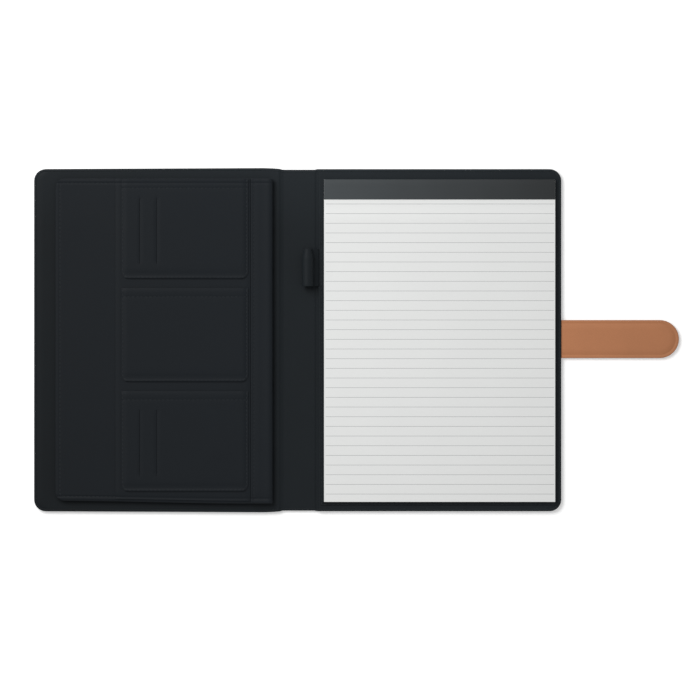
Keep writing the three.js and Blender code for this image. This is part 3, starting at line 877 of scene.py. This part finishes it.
def side_path(step):
    """Path round the pocket from the mouth along its head, round the fore edge and back along its tail"""
    start, end = pocket_box()
    radius = POCKET_RADIUS
    head = [(x, end.y, 0, -1) for x in reversed(places([start.x + radius, end.x], step))]
    for sine, cosine in quarter(CORNER_STEPS, 1)[:-1]:
        head.append((start.x + radius - radius * sine, end.y - radius + radius * cosine, sine, -cosine))
    fore = [(start.x, y, 1, 0) for y in reversed(places([start.y + radius, end.y - radius], step))]
    middle = start.y + end.y
    tail = [(x, middle - y, in_x, -in_y) for x, y, in_x, in_y in reversed(head)]
    return head + fore + tail


def gusset_strip(name):
    """Bellows round the pocket: one inward fold between the lining and the panel"""
    bottom, top = low("gusset_fore").z, high("gusset_fore").z
    share = (top - bottom - sizes().lining * 0.05) / (GUSSET_RISE * MM)
    path = side_path(8 * MM)
    points = []
    for x, y, in_x, in_y in path:
        for inset, rise in GUSSET_SECTION:
            swell = ripple(x, y) * rise / GUSSET_RISE
            points.append((x + in_x * inset * MM, y + in_y * inset * MM, bottom + rise * share * MM + swell))
    faces = loft_faces(len(path), len(GUSSET_SECTION), flip=True)
    piece = ease_tail(piece_from(name, points, faces, pocket_finish()))
    return settle(thicken(piece, 0.6 * MM))


def panel_sheet(name):
    start, end = pocket_box()
    columns = places([start.x, end.x] + from_edge(start.x, PANEL_SEAMS), 5 * MM)
    rows = round_marks(start.y, POCKET_RADIUS, 1) + round_marks(end.y, POCKET_RADIUS, -1) + rim_rows()
    rows = places(rows + from_edge(start.y, PANEL_SEAMS) + from_edge(end.y, PANEL_SEAMS, -1), 5 * MM)
    radii = (POCKET_RADIUS, 0, 0, POCKET_RADIUS)
    piece = rounded_sheet(name, columns, rows, panel_level, pocket_finish(), radii)
    return settle(thicken(ease_tail(piece), 0.9 * MM, 0.25 * MM))


def hem_strip(name):
    """Strip folded over the panel's mouth: flat from its seam, full towards the mouth, round the edge"""
    start, end = pocket_box("mouth_hem")
    rows = places([start.y, end.y] + rim_rows(), 6 * MM)
    points = []
    for y in rows:
        for across, level in HEM_SECTION:
            x = start.x + across * MM
            points.append((x, y, level * MM + ripple(x, y) * (1 if level > HEM_TURN else 0.9)))
    piece = piece_from(name, points, loft_faces(len(rows), len(HEM_SECTION), flip=True), pocket_finish())
    return settle(thicken(ease_tail(piece), 0.7 * MM, sizes().rounding))


class PADFOLIO_OT_document_pocket(bpy.types.Operator):
    """Document pocket: bellows gusset, panel and the hem along its mouth"""

    bl_idname = "padfolio.document_pocket"
    bl_label = "Document pocket"

    def execute(self, context):
        gusset = gusset_strip("document_gusset")
        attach(gusset, "front_cover")
        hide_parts("gusset_tail", "gusset_fore", "gusset_head")
        panel = panel_sheet("document_panel")
        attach(panel, "front_cover")
        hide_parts("pocket_panel")
        hem = hem_strip("document_hem")
        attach(hem, "front_cover")
        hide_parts("mouth_hem")
        return {"FINISHED"}


# Card pockets


def card_panel_level(x, y):
    return high("card_panel").z + ripple(x, y)


def card_pocket_box(node):
    """Box of a card pocket: the mouths of the lower two stand a little higher than their solids"""
    start, end = box(node)
    end.y += 0 if node == "card_pocket_upper" else MOUTH_RISE
    return start, end


def card_pocket_level(node, x, y):
    """Patch that is sewn down on three sides and stands off in between, with a doubled hem at its mouth"""
    start, end = card_pocket_box(node)
    sides, foot, from_mouth = min(x - start.x, end.x - x), y - start.y, end.y - y
    welt = ramp(foot, 0, 0.9 * MM) - 0.6 * (ramp(foot, 1.3 * MM, 3 * MM) - ramp(foot, 4 * MM, 9 * MM))
    puff = 0.6 * MM * ramp(sides, 0.6 * MM, 5 * MM) * welt
    groove = 0.06 * MM * dip(min(sides, foot) - CARD_SEAM, 0.7 * MM)
    hem = 0.12 * MM * (1 - ramp(from_mouth, 6.4 * MM, 8.6 * MM))
    line = 0.08 * MM * dip(from_mouth - CARD_HEM, 0.8 * MM)
    return end.z - 0.5 * MM + ripple(x, y) + puff + hem - groove - line


def card_pocket(name, node, slits):
    start, end = card_pocket_box(node)
    columns = [start.x, end.x] + from_edge(start.x, CARD_SEAMS) + from_edge(end.x, CARD_SEAMS, -1)
    rows = round_marks(start.y, CARD_RADIUS, 1) + from_edge(start.y, CARD_SEAMS)
    rows += [end.y] + from_edge(end.y, (7.2, 7.6, 8, 8.4, 8.8), -1)
    rows += [row for row in rim_rows() if start.y < row < end.y]
    middle = (start.y + end.y) / 2 - SLIT_DROP
    holes = [start.x + slit for slit in SLITS] if slits else []
    for hole in holes:
        columns += [hole - SLIT_HALF, hole + SLIT_HALF]
        rows += [middle - SLIT_REACH, middle + SLIT_REACH]
    columns, rows = places(columns, 4 * MM), places(rows, 4 * MM)

    def in_slit(x, y):
        return any(abs(x - hole) < SLIT_HALF for hole in holes) and abs(y - middle) < SLIT_REACH

    radii = (CARD_RADIUS, CARD_RADIUS, 0, 0)
    level = functools.partial(card_pocket_level, node)
    piece = rounded_sheet(name, columns, rows, level, pocket_finish(), radii, in_slit)
    settle(thicken(piece, sizes().lining, sizes().rounding))
    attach(piece, "front_cover")
    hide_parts(node)


class PADFOLIO_OT_card_pockets(bpy.types.Operator):
    """Card panel and its three card pockets"""

    bl_idname = "padfolio.card_pockets"
    bl_label = "Card pockets"

    def execute(self, context):
        start, end = pocket_box("card_panel")
        columns, rows = places([start.x, end.x], 5 * MM), places([start.y, end.y] + rim_rows(), 5 * MM)
        panel = rounded_sheet("card_panel_sheet", columns, rows, card_panel_level, pocket_finish())
        settle(thicken(ease_tail(panel), 0.66 * MM, 0.2 * MM))
        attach(panel, "front_cover")
        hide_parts("card_panel")
        card_pocket("card_patch_upper", "card_pocket_upper", True)
        card_pocket("card_patch_middle", "card_pocket_middle", False)
        card_pocket("card_patch_lower", "card_pocket_lower", True)
        return {"FINISHED"}


# Pen loop


def loop_centre():
    start, end = box("pen_loop_band")
    return Vector((start.x + LOOP_RADIUS, end.z - LOOP_RADIUS))


def loop_seam():
    x, _, z = JOINTS["pen_loop_hinge"]["pos_m"]
    return Vector((x, z))


def loop_outline():
    """Section of the pen loop as an outer line and a hole: a ring that eases into its tab"""
    centre, seam = loop_centre(), loop_seam()
    along = (seam - centre).normalized()
    across = Vector((-along.y, along.x))
    reach = (seam - centre).length - 0.3 * MM
    rise = TAB_HALF + TAB_FILLET
    tangent = math.sqrt((LOOP_RADIUS + TAB_FILLET) ** 2 - rise**2)
    swing = math.atan2(rise, tangent)

    def turned(origin, radius, angle):
        return origin + along * (radius * math.cos(angle)) + across * (radius * math.sin(angle))

    upper = [centre + along * reach + across * TAB_HALF]
    fillet_centre = centre + along * tangent + across * rise
    for step in range(TAB_STEPS + 1):
        upper.append(turned(fillet_centre, TAB_FILLET, -QUARTER - (QUARTER - swing) * step / TAB_STEPS))
    ring = []
    for step in range(1, RING_STEPS):
        ring.append(turned(centre, LOOP_RADIUS, swing + (2 * math.pi - 2 * swing) * step / RING_STEPS))
    lower = []
    for point in reversed(upper):
        offset = point - centre
        lower.append(centre + along * offset.dot(along) - across * offset.dot(across))
    angles = [2 * math.pi * step / RING_STEPS for step in range(RING_STEPS)]
    return upper + ring + lower, [turned(centre, LOOP_RADIUS - LOOP_WALL, angle) for angle in angles]


def pinch(mesh, head, tail):
    """Draws the loop's ring together at its head end, and its tab out after it"""
    centre, reach = loop_centre(), (loop_seam() - loop_centre()).length
    with opened(mesh) as shell:
        for place in places([tail + 2 * MM, head - 1 * MM], 1.5 * MM):
            sliced(shell, (0, place, 0), (0, 1, 0))
        for point in shell.verts:
            drawn = 0.3 * LOOP_RADIUS * (1 - ramp(head - point.co.y, 0, PINCH_REACH))
            offset = Vector((point.co.x, point.co.z)) - centre
            distance = offset.length
            in_ring = distance < LOOP_RADIUS
            share = distance / LOOP_RADIUS if in_ring else (reach - distance) / (reach - LOOP_RADIUS)
            offset *= (distance - drawn * max(0, share)) / distance
            point.co.x, point.co.z = centre + offset


def loop_mesh(name):
    """The loop's section as a filled curve with lipped ends, laid along the spine"""
    start, end = box("pen_loop_band")
    curve = bpy.data.curves.new(name, "CURVE")
    curve.dimensions = "2D"
    curve.fill_mode = "BOTH"
    curve.extrude = (end.y - start.y) / 2 - LOOP_LIP
    curve.bevel_depth = LOOP_LIP
    curve.bevel_resolution = 1
    curve.offset = -LOOP_LIP
    for line in loop_outline():
        spline = curve.splines.new("POLY")
        spline.points.add(len(line) - 1)
        for point, place in zip(spline.points, line):
            point.co = (place.x, place.y, 0, 1)
        spline.use_cyclic_u = True
    shape = linked(name, curve)
    mesh = evaluated(shape)
    bpy.data.objects.remove(shape)
    mesh.transform(Matrix(((1, 0, 0, 0), (0, 0, -1, (start.y + end.y) / 2), (0, 1, 0, 0), (0, 0, 0, 1))))
    mesh.materials.clear()
    mesh.materials.append(lining_finish())
    pinch(mesh, end.y, start.y)
    return mesh


class PADFOLIO_OT_pen_loop(bpy.types.Operator):
    """Pen loop, and the end of its tab that is sewn down"""

    bl_idname = "padfolio.pen_loop"
    bl_label = "Pen loop"

    def execute(self, context):
        loop = linked("pen_loop", loop_mesh("pen_loop_section"))
        settle(weld(loop, outward=True), 30)
        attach(loop, "pen_loop")
        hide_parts("pen_loop_band")
        start, end = box("pen_loop_flange")
        columns, rows = places([start.x, end.x], 0.8 * MM), places([start.y, end.y], 4 * MM)
        foot = rounded_sheet("pen_loop_foot", columns, rows, lambda x, y: end.z, lining_finish())
        settle(thicken(foot, end.z - start.z, 0.12 * MM))
        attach(foot, "back_cover")
        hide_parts("pen_loop_flange")
        return {"FINISHED"}


# Pad


def pad_pocket_level(x, y):
    """Sheet behind the pad: sewn flat round three sides, and lifted by the pad's card inside them"""
    start, end = box("pad_pocket")
    edge = min(x - start.x, end.x - x, y - start.y)
    lift = ramp(edge, 1.1 * MM, 2.1 * MM)
    tab_low, tab_high = low("pen_loop_flange").y, high("pen_loop_flange").y
    at_tab = ramp(y, tab_low - 2.5 * MM, tab_low - 0.3 * MM) - ramp(y, tab_high + 0.3 * MM, tab_high + 2.5 * MM)
    over_tab = 0.55 * MM * at_tab * (1 - ramp(x, start.x + 2 * MM, start.x + 4 * MM))
    flat = COVER_TOP + 0.8 * MM - 0.16 * MM * dip(edge - SLEEVE_SEAM, 0.6 * MM)
    return flat + max((end.z - flat) * lift, over_tab)


def sleeve_sheet(name):
    start, end = box("pad_pocket")
    columns = [start.x, end.x] + from_edge(start.x, SLEEVE_SEAMS) + from_edge(end.x, SLEEVE_SEAMS, -1)
    rows = [start.y, end.y] + from_edge(start.y, SLEEVE_SEAMS)
    rows += places([low("pen_loop_flange").y - 3 * MM, high("pen_loop_flange").y + 3 * MM], 1.5 * MM)
    columns, rows = places(columns, 12 * MM), places(rows, 12 * MM)
    piece = rounded_sheet(name, columns, rows, pad_pocket_level, lining_finish())
    return settle(thicken(piece, 0.66 * MM, sizes().rounding))


def sheet_level(y, head_level, tail_level):
    """Level of a sheet of the pad, which steps up over the mouth of the pocket behind it"""
    mouth = high("pad_pocket").y
    return tail_level + (head_level - tail_level) * ramp(y, mouth + 0.3 * MM, mouth + 12.3 * MM)


def geometry_tree(name, **inputs):
    """New geometry nodes tree with named inputs, and the sockets that give them"""
    group = bpy.data.node_groups.new(name, "GeometryNodeTree")
    for label, kind in {"Geometry": "Geometry", **inputs}.items():
        group.interface.new_socket(label, in_out="INPUT", socket_type=f"NodeSocket{kind}")
    group.interface.new_socket("Geometry", in_out="OUTPUT", socket_type="NodeSocketGeometry")
    tree = Tree(group)
    return tree, tree.node("NodeGroupInput").outputs


def close_tree(tree, copies, material):
    """Ends a geometry nodes tree: its copies made real, in their material"""
    real = tree.node("GeometryNodeRealizeInstances", sockets={0: copies})
    painted = tree.node("GeometryNodeSetMaterial", sockets={"Geometry": real, "Material": material})
    tree.node("NodeGroupOutput", sockets={0: painted})
    return tree.tree


def sheet_stack_tree():
    """Geometry nodes that stack copies of one sheet, each a little out of line"""
    tree, given = geometry_tree("Stacked sheets", Count="Int", Pitch="Float", Shift="Float", Paper="Material")
    offset = tree.node("ShaderNodeCombineXYZ", sockets={"Z": given["Pitch"]})
    line = tree.node("GeometryNodeMeshLine", sockets={"Count": given["Count"], "Offset": offset})
    reach = {"Min": (-1, -1, 0), "Max": (1, 0.2, 0), "Seed": 7}
    jog = tree.node("FunctionNodeRandomValue", {"data_type": "FLOAT_VECTOR"}, reach).outputs["Value"]
    scale = tree.node("ShaderNodeVectorMath", {"operation": "SCALE"}, {0: jog, "Scale": given["Shift"]})
    shifted = tree.node("GeometryNodeSetPosition", sockets={"Geometry": line, "Offset": scale})
    sockets = {"Points": shifted, "Instance": given["Geometry"]}
    return close_tree(tree, tree.node("GeometryNodeInstanceOnPoints", sockets=sockets), given["Paper"])


def add_nodes(piece, tree, values):
    """Gives a piece a geometry nodes modifier with named inputs"""
    modifier = piece.modifiers.new(tree.name, "NODES")
    modifier.node_group = tree
    keys = {item.name: item.identifier for item in tree.interface.items_tree if item.in_out == "INPUT"}
    for name, value in values.items():
        modifier[keys[name]] = value


def trimmed(node):
    """Box of one of the pad's layers, trimmed to the edges that show"""
    start, end = box(node)
    return start + PAD_TRIM_LOW, end - PAD_TRIM_HIGH


def paper_sheet(name, node, thickness, head_top, tail_top, step):
    start, end = trimmed(node)
    columns = places([start.x, end.x], 26 * MM)
    rows = places([start.y, end.y, high("pad_pocket").y, high("pad_pocket").y + 13 * MM], step)
    paper = made("ruled_paper", ruled_paper, colours().paper, colours().rule, *ruled_area())
    piece = rounded_sheet(name, columns, rows, lambda x, y: sheet_level(y, head_top, tail_top), paper)
    return settle(thicken(piece, thickness))


def pad_card(name):
    start, end = trimmed("backing_card")
    columns, rows = places([start.x, end.x], 26 * MM), places([start.y, end.y], 26 * MM)
    greyboard = made("pad_greyboard", board_card, colours().card, False)
    card = rounded_sheet(name, columns, rows, lambda x, y: end.z, greyboard)
    return settle(thicken(card, end.z - start.z, 0.1 * MM))


def ruled_area():
    """Where the paper is ruled: from and to in X, first and last rule in Y"""
    start, end = box("top_sheet")
    first = low("head_band").y - 4.1 * MM
    return start.x + 2.2 * MM, end.x - 1.1 * MM, first, first - RULES * sizes().rule_pitch


def band_strip(name):
    """Strip glued round the pad's head, from under its card to the top sheet's edge"""
    start, end = box("head_band")
    start, end = start + Vector((PAD_TRIM_LOW.x, 0, 0)), end - PAD_TRIM_HIGH
    bend = BAND_BEND
    section = [(start.y, end.z), (start.y + BAND_FLAT, end.z), (end.y - BAND_FLAT, end.z)]
    section += [(end.y - bend + bend * sine, end.z - bend + bend * cosine) for sine, cosine in quarter(EDGE_STEPS)]
    section += [(end.y - bend + bend * cosine, start.z + bend - bend * sine) for sine, cosine in quarter(EDGE_STEPS)]
    section += [(end.y - BAND_FLAT, start.z), (start.y, start.z)]
    columns = places([start.x, end.x], 20 * MM)
    points = [(x, y, z) for x in columns for y, z in section]
    strip = made("glazed_strip", bound_strip, colours().band, start.x, end.x)
    piece = piece_from(name, points, loft_faces(len(columns), len(section)), strip)
    return settle(thicken(piece, BAND_WALL), 30)


class PADFOLIO_OT_pad(bpy.types.Operator):
    """Pocket behind the pad, the pad's sheets, its head band and its card"""

    bl_idname = "padfolio.pad"
    bl_label = "Writing pad"

    def execute(self, context):
        pocket = sleeve_sheet("pad_sleeve")
        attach(pocket, "back_cover")
        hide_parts("pad_pocket")
        top, bottom = high("paper_block").z, low("paper_block").z
        rise = top - high("head_band").z + 0.4 * MM
        count = sizes().sheets
        pitch = (top - rise - bottom) / count
        first = bottom + pitch
        stack = paper_sheet("paper_sheets", "paper_block", pitch * 0.94, first, first + rise, 3 * MM)
        paper = stack.data.materials[0]
        add_nodes(stack, sheet_stack_tree(), {"Count": count, "Pitch": pitch, "Shift": 0.12 * MM, "Paper": paper})
        stack.data.attributes.remove(stack.data.attributes["rest"])
        settle(stack)
        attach(stack, "pad")
        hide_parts("paper_block")
        sheet_top, head_level = high("top_sheet").z, high("top_sheet").z - rise
        leaf = paper_sheet("top_leaf", "top_sheet", 0.18 * MM, head_level, sheet_top, 1.5 * MM)
        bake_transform(leaf)
        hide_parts("top_sheet")
        card = pad_card("pad_card")
        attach(card, "pad")
        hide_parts("backing_card")
        band = band_strip("pad_head_strip")
        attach(band, "pad")
        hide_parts("head_band")
        return {"FINISHED"}


# Strap


def strap_section(bottom, top, half):
    """Half section of the strap from its middle underneath, round its edge, to its middle on top"""
    corner = STRAP_CORNER
    section = [(half, bottom), (half / 2, bottom), (3.3 * MM, bottom), (corner, bottom)]
    section += [(corner * (1 - sine), bottom + corner * (1 - cosine)) for sine, cosine in quarter(3, 1)]
    section += [(corner * (1 - cosine), top - corner * (1 - sine)) for sine, cosine in quarter(3)]
    crease = min(0.14 * MM, (top - bottom) * 0.1)
    section += [(2.55 * MM, top), (2.8 * MM, top - crease), (3.05 * MM, top - crease), (3.3 * MM, top)]
    return section + [(half / 2, top), (half, top)]


def strap_part(name, xs, levels, round_end):
    """Length of the strap between two places, with its round end where it has one"""
    start, end = box("strap_tip_upper_ply")
    half, centre_y = (end.y - start.y) / 2, (end.y + start.y) / 2
    upper = [(x, 0, -1) for x in xs]
    if round_end:
        upper += [(xs[-1] + half * sine, -sine, -cosine) for sine, cosine in quarter(STRAP_END_STEPS, 1)]
    points, faces, painted = [], [], []
    for mirror in (1, -1):
        first = len(points)
        for x, in_x, in_y in upper:
            y = centre_y + mirror * half * (-in_y)
            for inset, level in strap_section(*levels(x), half):
                points.append((x + in_x * inset, y + mirror * in_y * inset, level))
        count = (len(points) - first) // len(upper)
        new = loft_faces(len(upper), count, first, mirror < 0)
        painted += [len(faces) + number for number in range(len(new)) if number % (count - 1) in PAINTED]
        faces += new
    other = len(points) // 2
    for station in [0] if round_end else [0, len(upper) - 1]:
        ring = [station * count + number for number in range(count)]
        faces.append(ring + [other + number for number in reversed(ring[1:-1])])
    # Painted light: the strap's leatherette runs lighter or darker along X by its share
    tan = made("strap_leatherette", leather, colours().tan, 0.6, 0.3, 0.6, colours().strap_painted_light)
    edge = made("strap_edge_paint", edge_paint, colours().tan_edge)
    piece = piece_from(name, points, faces, tan, edge)
    for number in painted:
        piece.data.polygons[number].material_index = 1
    return settle(weld(piece, outward=True), 30)


class PADFOLIO_OT_strap(bpy.types.Operator):
    """Closing strap, in two lengths that meet half way up its riser"""

    bl_idname = "padfolio.strap"
    bl_label = "Closing strap"

    def execute(self, context):
        root_low, root_high = box("strap_root")
        tip_low, tip_high = low("strap_tip_lower_ply"), high("strap_tip_upper_ply")
        edge = BACK_EDGE
        inside = edge - 1.2 * MM

        def root_levels(x):
            share = ramp(x, inside - STRAP_RISE, inside)
            return [root.z + (tip.z - root.z) * share for root, tip in ((root_low, tip_low), (root_high, tip_high))]

        fold = places([FIRST_FOLD - 1.8 * MM, FIRST_FOLD + 1.8 * MM], 0.2 * MM)
        marks = [root_low.x, inside - STRAP_RISE, inside - STRAP_RISE / 2, inside, MID_RISER]
        root = strap_part("strap_inner_length", places(marks + fold, 5 * MM), root_levels, False)
        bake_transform(root)
        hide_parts("strap_root", "strap_riser_lower_ply", "strap_riser_upper_ply")
        half = (tip_high.y - tip_low.y) / 2
        fold = places([SECOND_FOLD - 2 * MM, SECOND_FOLD + 2 * MM], 0.2 * MM)
        xs = places([MID_RISER, tip_high.x - half - 0.4 * MM] + fold, 5 * MM)
        tip = strap_part("strap_outer_length", xs, lambda x: (tip_low.z, tip_high.z), True)
        crossing(tip)
        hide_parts("strap_tip_lower_ply", "strap_tip_upper_ply", "strap_riser_upper_ply")
        return {"FINISHED"}


# Stitching


def stitch_tree():
    """Geometry nodes that lay stitches along lines at an even pitch"""
    measures = dict.fromkeys(("Pitch", "Length", "Width", "Height"), "Float")
    tree, given = geometry_tree("Stitch run", **measures, Thread="Material")
    line = tree.node("GeometryNodeMeshToCurve", sockets={0: given["Geometry"]})
    spots = tree.node("GeometryNodeCurveToPoints", {"mode": "LENGTH"}, {"Curve": line, "Length": given["Pitch"]})
    aim = tree.node("FunctionNodeAlignRotationToVector", {"axis": "X"}, {"Vector": spots.outputs["Tangent"]})
    ball = tree.node("GeometryNodeMeshUVSphere", sockets={"Segments": 8, "Rings": 5, "Radius": 0.5})
    form = {"X": given["Length"], "Y": given["Width"], "Z": given["Height"]}
    form = tree.node("ShaderNodeCombineXYZ", sockets=form)
    upright = tree.node("GeometryNodeTransform", sockets={"Geometry": ball, "Rotation": (0, QUARTER, 0)})
    shaped = tree.node("GeometryNodeTransform", sockets={"Geometry": upright, "Scale": form})
    sockets = {"Points": spots.outputs["Points"], "Instance": shaped, "Rotation": aim}
    return close_tree(tree, tree.node("GeometryNodeInstanceOnPoints", sockets=sockets), given["Thread"])


def run(start, end, level):
    """Line of points from one place to another, laid on a surface"""
    count = max(1, round(math.dist(start, end) / (3 * MM)))
    line = []
    for number in range(count + 1):
        x, y = (first + (last - first) * (number / count) for first, last in zip(start, end))
        line.append((x, y, level(x, y)))
    return line


def stitched(name, lines, body):
    points, edges = [], []
    for line in lines:
        first = len(points)
        points += line
        edges += [(first + number, first + number + 1) for number in range(len(line) - 1)]
    piece = piece_from(name, points, [], edges=edges)
    size = sizes()
    tree = bpy.data.node_groups.get("Stitch run") or stitch_tree()
    values = {"Pitch": size.pitch, "Length": size.stitch, "Width": size.thread, "Height": size.thread * 0.7}
    add_nodes(piece, tree, {**values, "Thread": made("sewing_thread", cloth_thread, colours().thread)})
    settle(piece, 60)
    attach(piece, body)


def three_sides(node, inset, radius, level):
    """Line round the low-Y side of a patch and up its two sides, inside its edge"""
    start, end = box(node)
    x0, x1, y0, y1 = start.x + inset, end.x - inset, start.y + inset, end.y - 1.5 * MM
    bend = max(radius - inset, 0.5 * MM)
    line = run((x0, y1), (x0, y0 + bend), level)
    for centre_x, from_angle in ((x0 + bend, 2 * QUARTER), (x1 - bend, 3 * QUARTER)):
        for number in range(1, CORNER_STEPS + 1):
            angle = from_angle + QUARTER * number / CORNER_STEPS
            x, y = centre_x + bend * math.cos(angle), y0 + bend + bend * math.sin(angle)
            line.append((x, y, level(x, y)))
    return line + run((x1, y0 + bend), (x1, y1), level)[1:]


class PADFOLIO_OT_stitching(bpy.types.Operator):
    """Seams of the pockets, the hems and the sleeve behind the pad"""

    bl_idname = "padfolio.stitching"
    bl_label = "Stitching"

    def execute(self, context):
        lines = []
        for node in ("card_pocket_upper", "card_pocket_middle", "card_pocket_lower"):
            start, end = card_pocket_box(node)
            level = lambda x, y, node=node: card_pocket_level(node, x, y) + 0.06 * MM
            hem_y = end.y - CARD_HEM
            lines.append(three_sides(node, CARD_SEAM, CARD_RADIUS, level))
            lines.append(run((start.x + 3 * MM, hem_y), (end.x - 3 * MM, hem_y), level))
        start, end = box("mouth_hem")
        seam = lambda x, y: 11.86 * MM + ripple(x, y)
        seam_x, hem_x = start.x + 2.8 * MM, start.x - 1 * MM
        lines.append(run((seam_x, start.y + 2 * MM), (seam_x, end.y - 2 * MM), seam))
        edge = [(x + in_x * RIM_SEAM, y + in_y * RIM_SEAM) for x, y, in_x, in_y in side_path(4 * MM)]
        lines.append([(x, eased(x, y), panel_level(x, y) + 0.06 * MM) for x, y in edge if x < hem_x])
        stitched("pocket_stitching", lines, "front_cover")
        sleeve = lambda x, y: pad_pocket_level(x, y) + 0.04 * MM
        stitched("sleeve_stitching", [three_sides("pad_pocket", SLEEVE_SEAM, 0, sleeve)], "back_cover")
        return {"FINISHED"}


class PADFOLIO_OT_stiffeners(bpy.types.Operator):
    """Finishes of the boards, the padding and the steel inside"""

    bl_idname = "padfolio.stiffeners"
    bl_label = "Stiffeners and steel"

    def execute(self, context):
        given = colours()
        finishes = {
            made("greyboard", board_card, given.card): ("back_board", "spine_board", "front_board"),
            made("thin_foam", foam, given.foam): ("back_padding", "front_padding"),
            made("plated_steel", brushed_steel, given.steel): ("closure_plate", "strap_magnet"),
        }
        for finish, nodes in finishes.items():
            for node in nodes:
                for slot in frame["nodes"][node].material_slots:
                    slot.material = finish
        return {"FINISHED"}


# Stage


class PADFOLIO_OT_stage(bpy.types.Operator):
    """Floor, surroundings, lamp and camera"""

    bl_idname = "padfolio.stage"
    bl_label = "Floor, light and camera"

    def execute(self, context):
        self.floor()
        self.surroundings(context.scene)
        self.lamp()
        self.camera(context.scene)
        context.scene.view_settings.view_transform = "Standard"
        return {"FINISHED"}

    def floor(self):
        """Floor that keeps the object's shadow, and glows for the camera, more so away from the object"""
        material = bpy.data.materials.new("pale_floor")
        material.use_nodes = True
        tree = Tree(material.node_tree)
        place = tree.node("ShaderNodeTexCoord").outputs["Object"]
        reach = tree.node("ShaderNodeVectorMath", {"operation": "LENGTH"}, {0: place}).outputs["Value"]
        fade = tree.node("ShaderNodeMapRange", sockets={"Value": reach, **FLOOR_FADE}).outputs["Result"]
        glow = tree.node("ShaderNodeEmission", sockets={"Strength": tree.seen() * fade})
        diffuse = tree.node("ShaderNodeBsdfDiffuse", sockets={"Color": colours().floor})
        both = tree.node("ShaderNodeAddShader", sockets={0: diffuse, 1: glow})
        tree.node("ShaderNodeOutputMaterial", sockets={"Surface": both})
        ends = ((-1, -1), (1, -1), (1, 1), (-1, 1))
        points = [(x * FLOOR_HALF, y * FLOOR_HALF, FLOOR_LEVEL) for x, y in ends]
        piece_from("floor", points, [(0, 1, 2, 3)], material)

    def surroundings(self, scene):
        """White to the camera, and an even light of less strength to everything else"""
        scene.world = bpy.data.worlds.new("surroundings")
        scene.world.use_nodes = True
        tree = Tree(scene.world.node_tree)
        strength = tree.seen() * (1 - AMBIENT) + AMBIENT
        sky = tree.node("ShaderNodeBackground", sockets={"Color": (1, 1, 1), "Strength": strength})
        tree.node("ShaderNodeOutputWorld", sockets={"Surface": sky})

    def lamp(self):
        key = bpy.data.lights.new("key_light", "AREA")
        key.shape = "DISK"
        key.size = LAMP_SIZE
        key.energy = LAMP_POWER
        lamp = linked("key_light", key)
        lamp.location = LAMP_PLACE
        lamp.rotation_euler = lamp.location.to_track_quat("Z", "Y").to_euler()

    def camera(self, scene):
        data = bpy.data.cameras.new("overhead_camera")
        data.lens = 300
        data.sensor_width = 36
        data.clip_end = 30
        camera = linked("overhead_camera", data)
        camera.location = (*VIEW_MIDDLE, VIEW_LEVEL + VIEW_ACROSS * data.lens / data.sensor_width)
        scene.camera = camera


class PADFOLIO_PT_panel(bpy.types.Panel):
    """Lists the padfolio's sizes, colours and steps"""

    bl_idname = "PADFOLIO_PT_panel"
    bl_label = "Padfolio"
    bl_space_type = "VIEW_3D"
    bl_region_type = "UI"
    bl_category = "Padfolio"

    def draw(self, context):
        for group in (context.scene.padfolio_sizes, context.scene.padfolio_colours):
            for name in group.__annotations__:
                self.layout.prop(group, name)
        for step in STEPS:
            self.layout.operator(step.bl_idname)


STEPS = (
    PADFOLIO_OT_stage,
    PADFOLIO_OT_hides,
    PADFOLIO_OT_linings,
    PADFOLIO_OT_document_pocket,
    PADFOLIO_OT_card_pockets,
    PADFOLIO_OT_pen_loop,
    PADFOLIO_OT_pad,
    PADFOLIO_OT_strap,
    PADFOLIO_OT_stitching,
    PADFOLIO_OT_stiffeners,
)
CLASSES = (PadfolioSizes, PadfolioColours, *STEPS, PADFOLIO_PT_panel)


def register():
    for item in CLASSES:
        bpy.utils.register_class(item)
    bpy.types.Scene.padfolio_sizes = bpy.props.PointerProperty(type=PadfolioSizes)
    bpy.types.Scene.padfolio_colours = bpy.props.PointerProperty(type=PadfolioColours)


def unregister():
    del bpy.types.Scene.padfolio_colours
    del bpy.types.Scene.padfolio_sizes
    for item in reversed(CLASSES):
        bpy.utils.unregister_class(item)


def main():
    register()
    for step in STEPS:
        area, name = step.bl_idname.split(".")
        getattr(getattr(bpy.ops, area), name)()


if __name__ == "__main__":
    main()
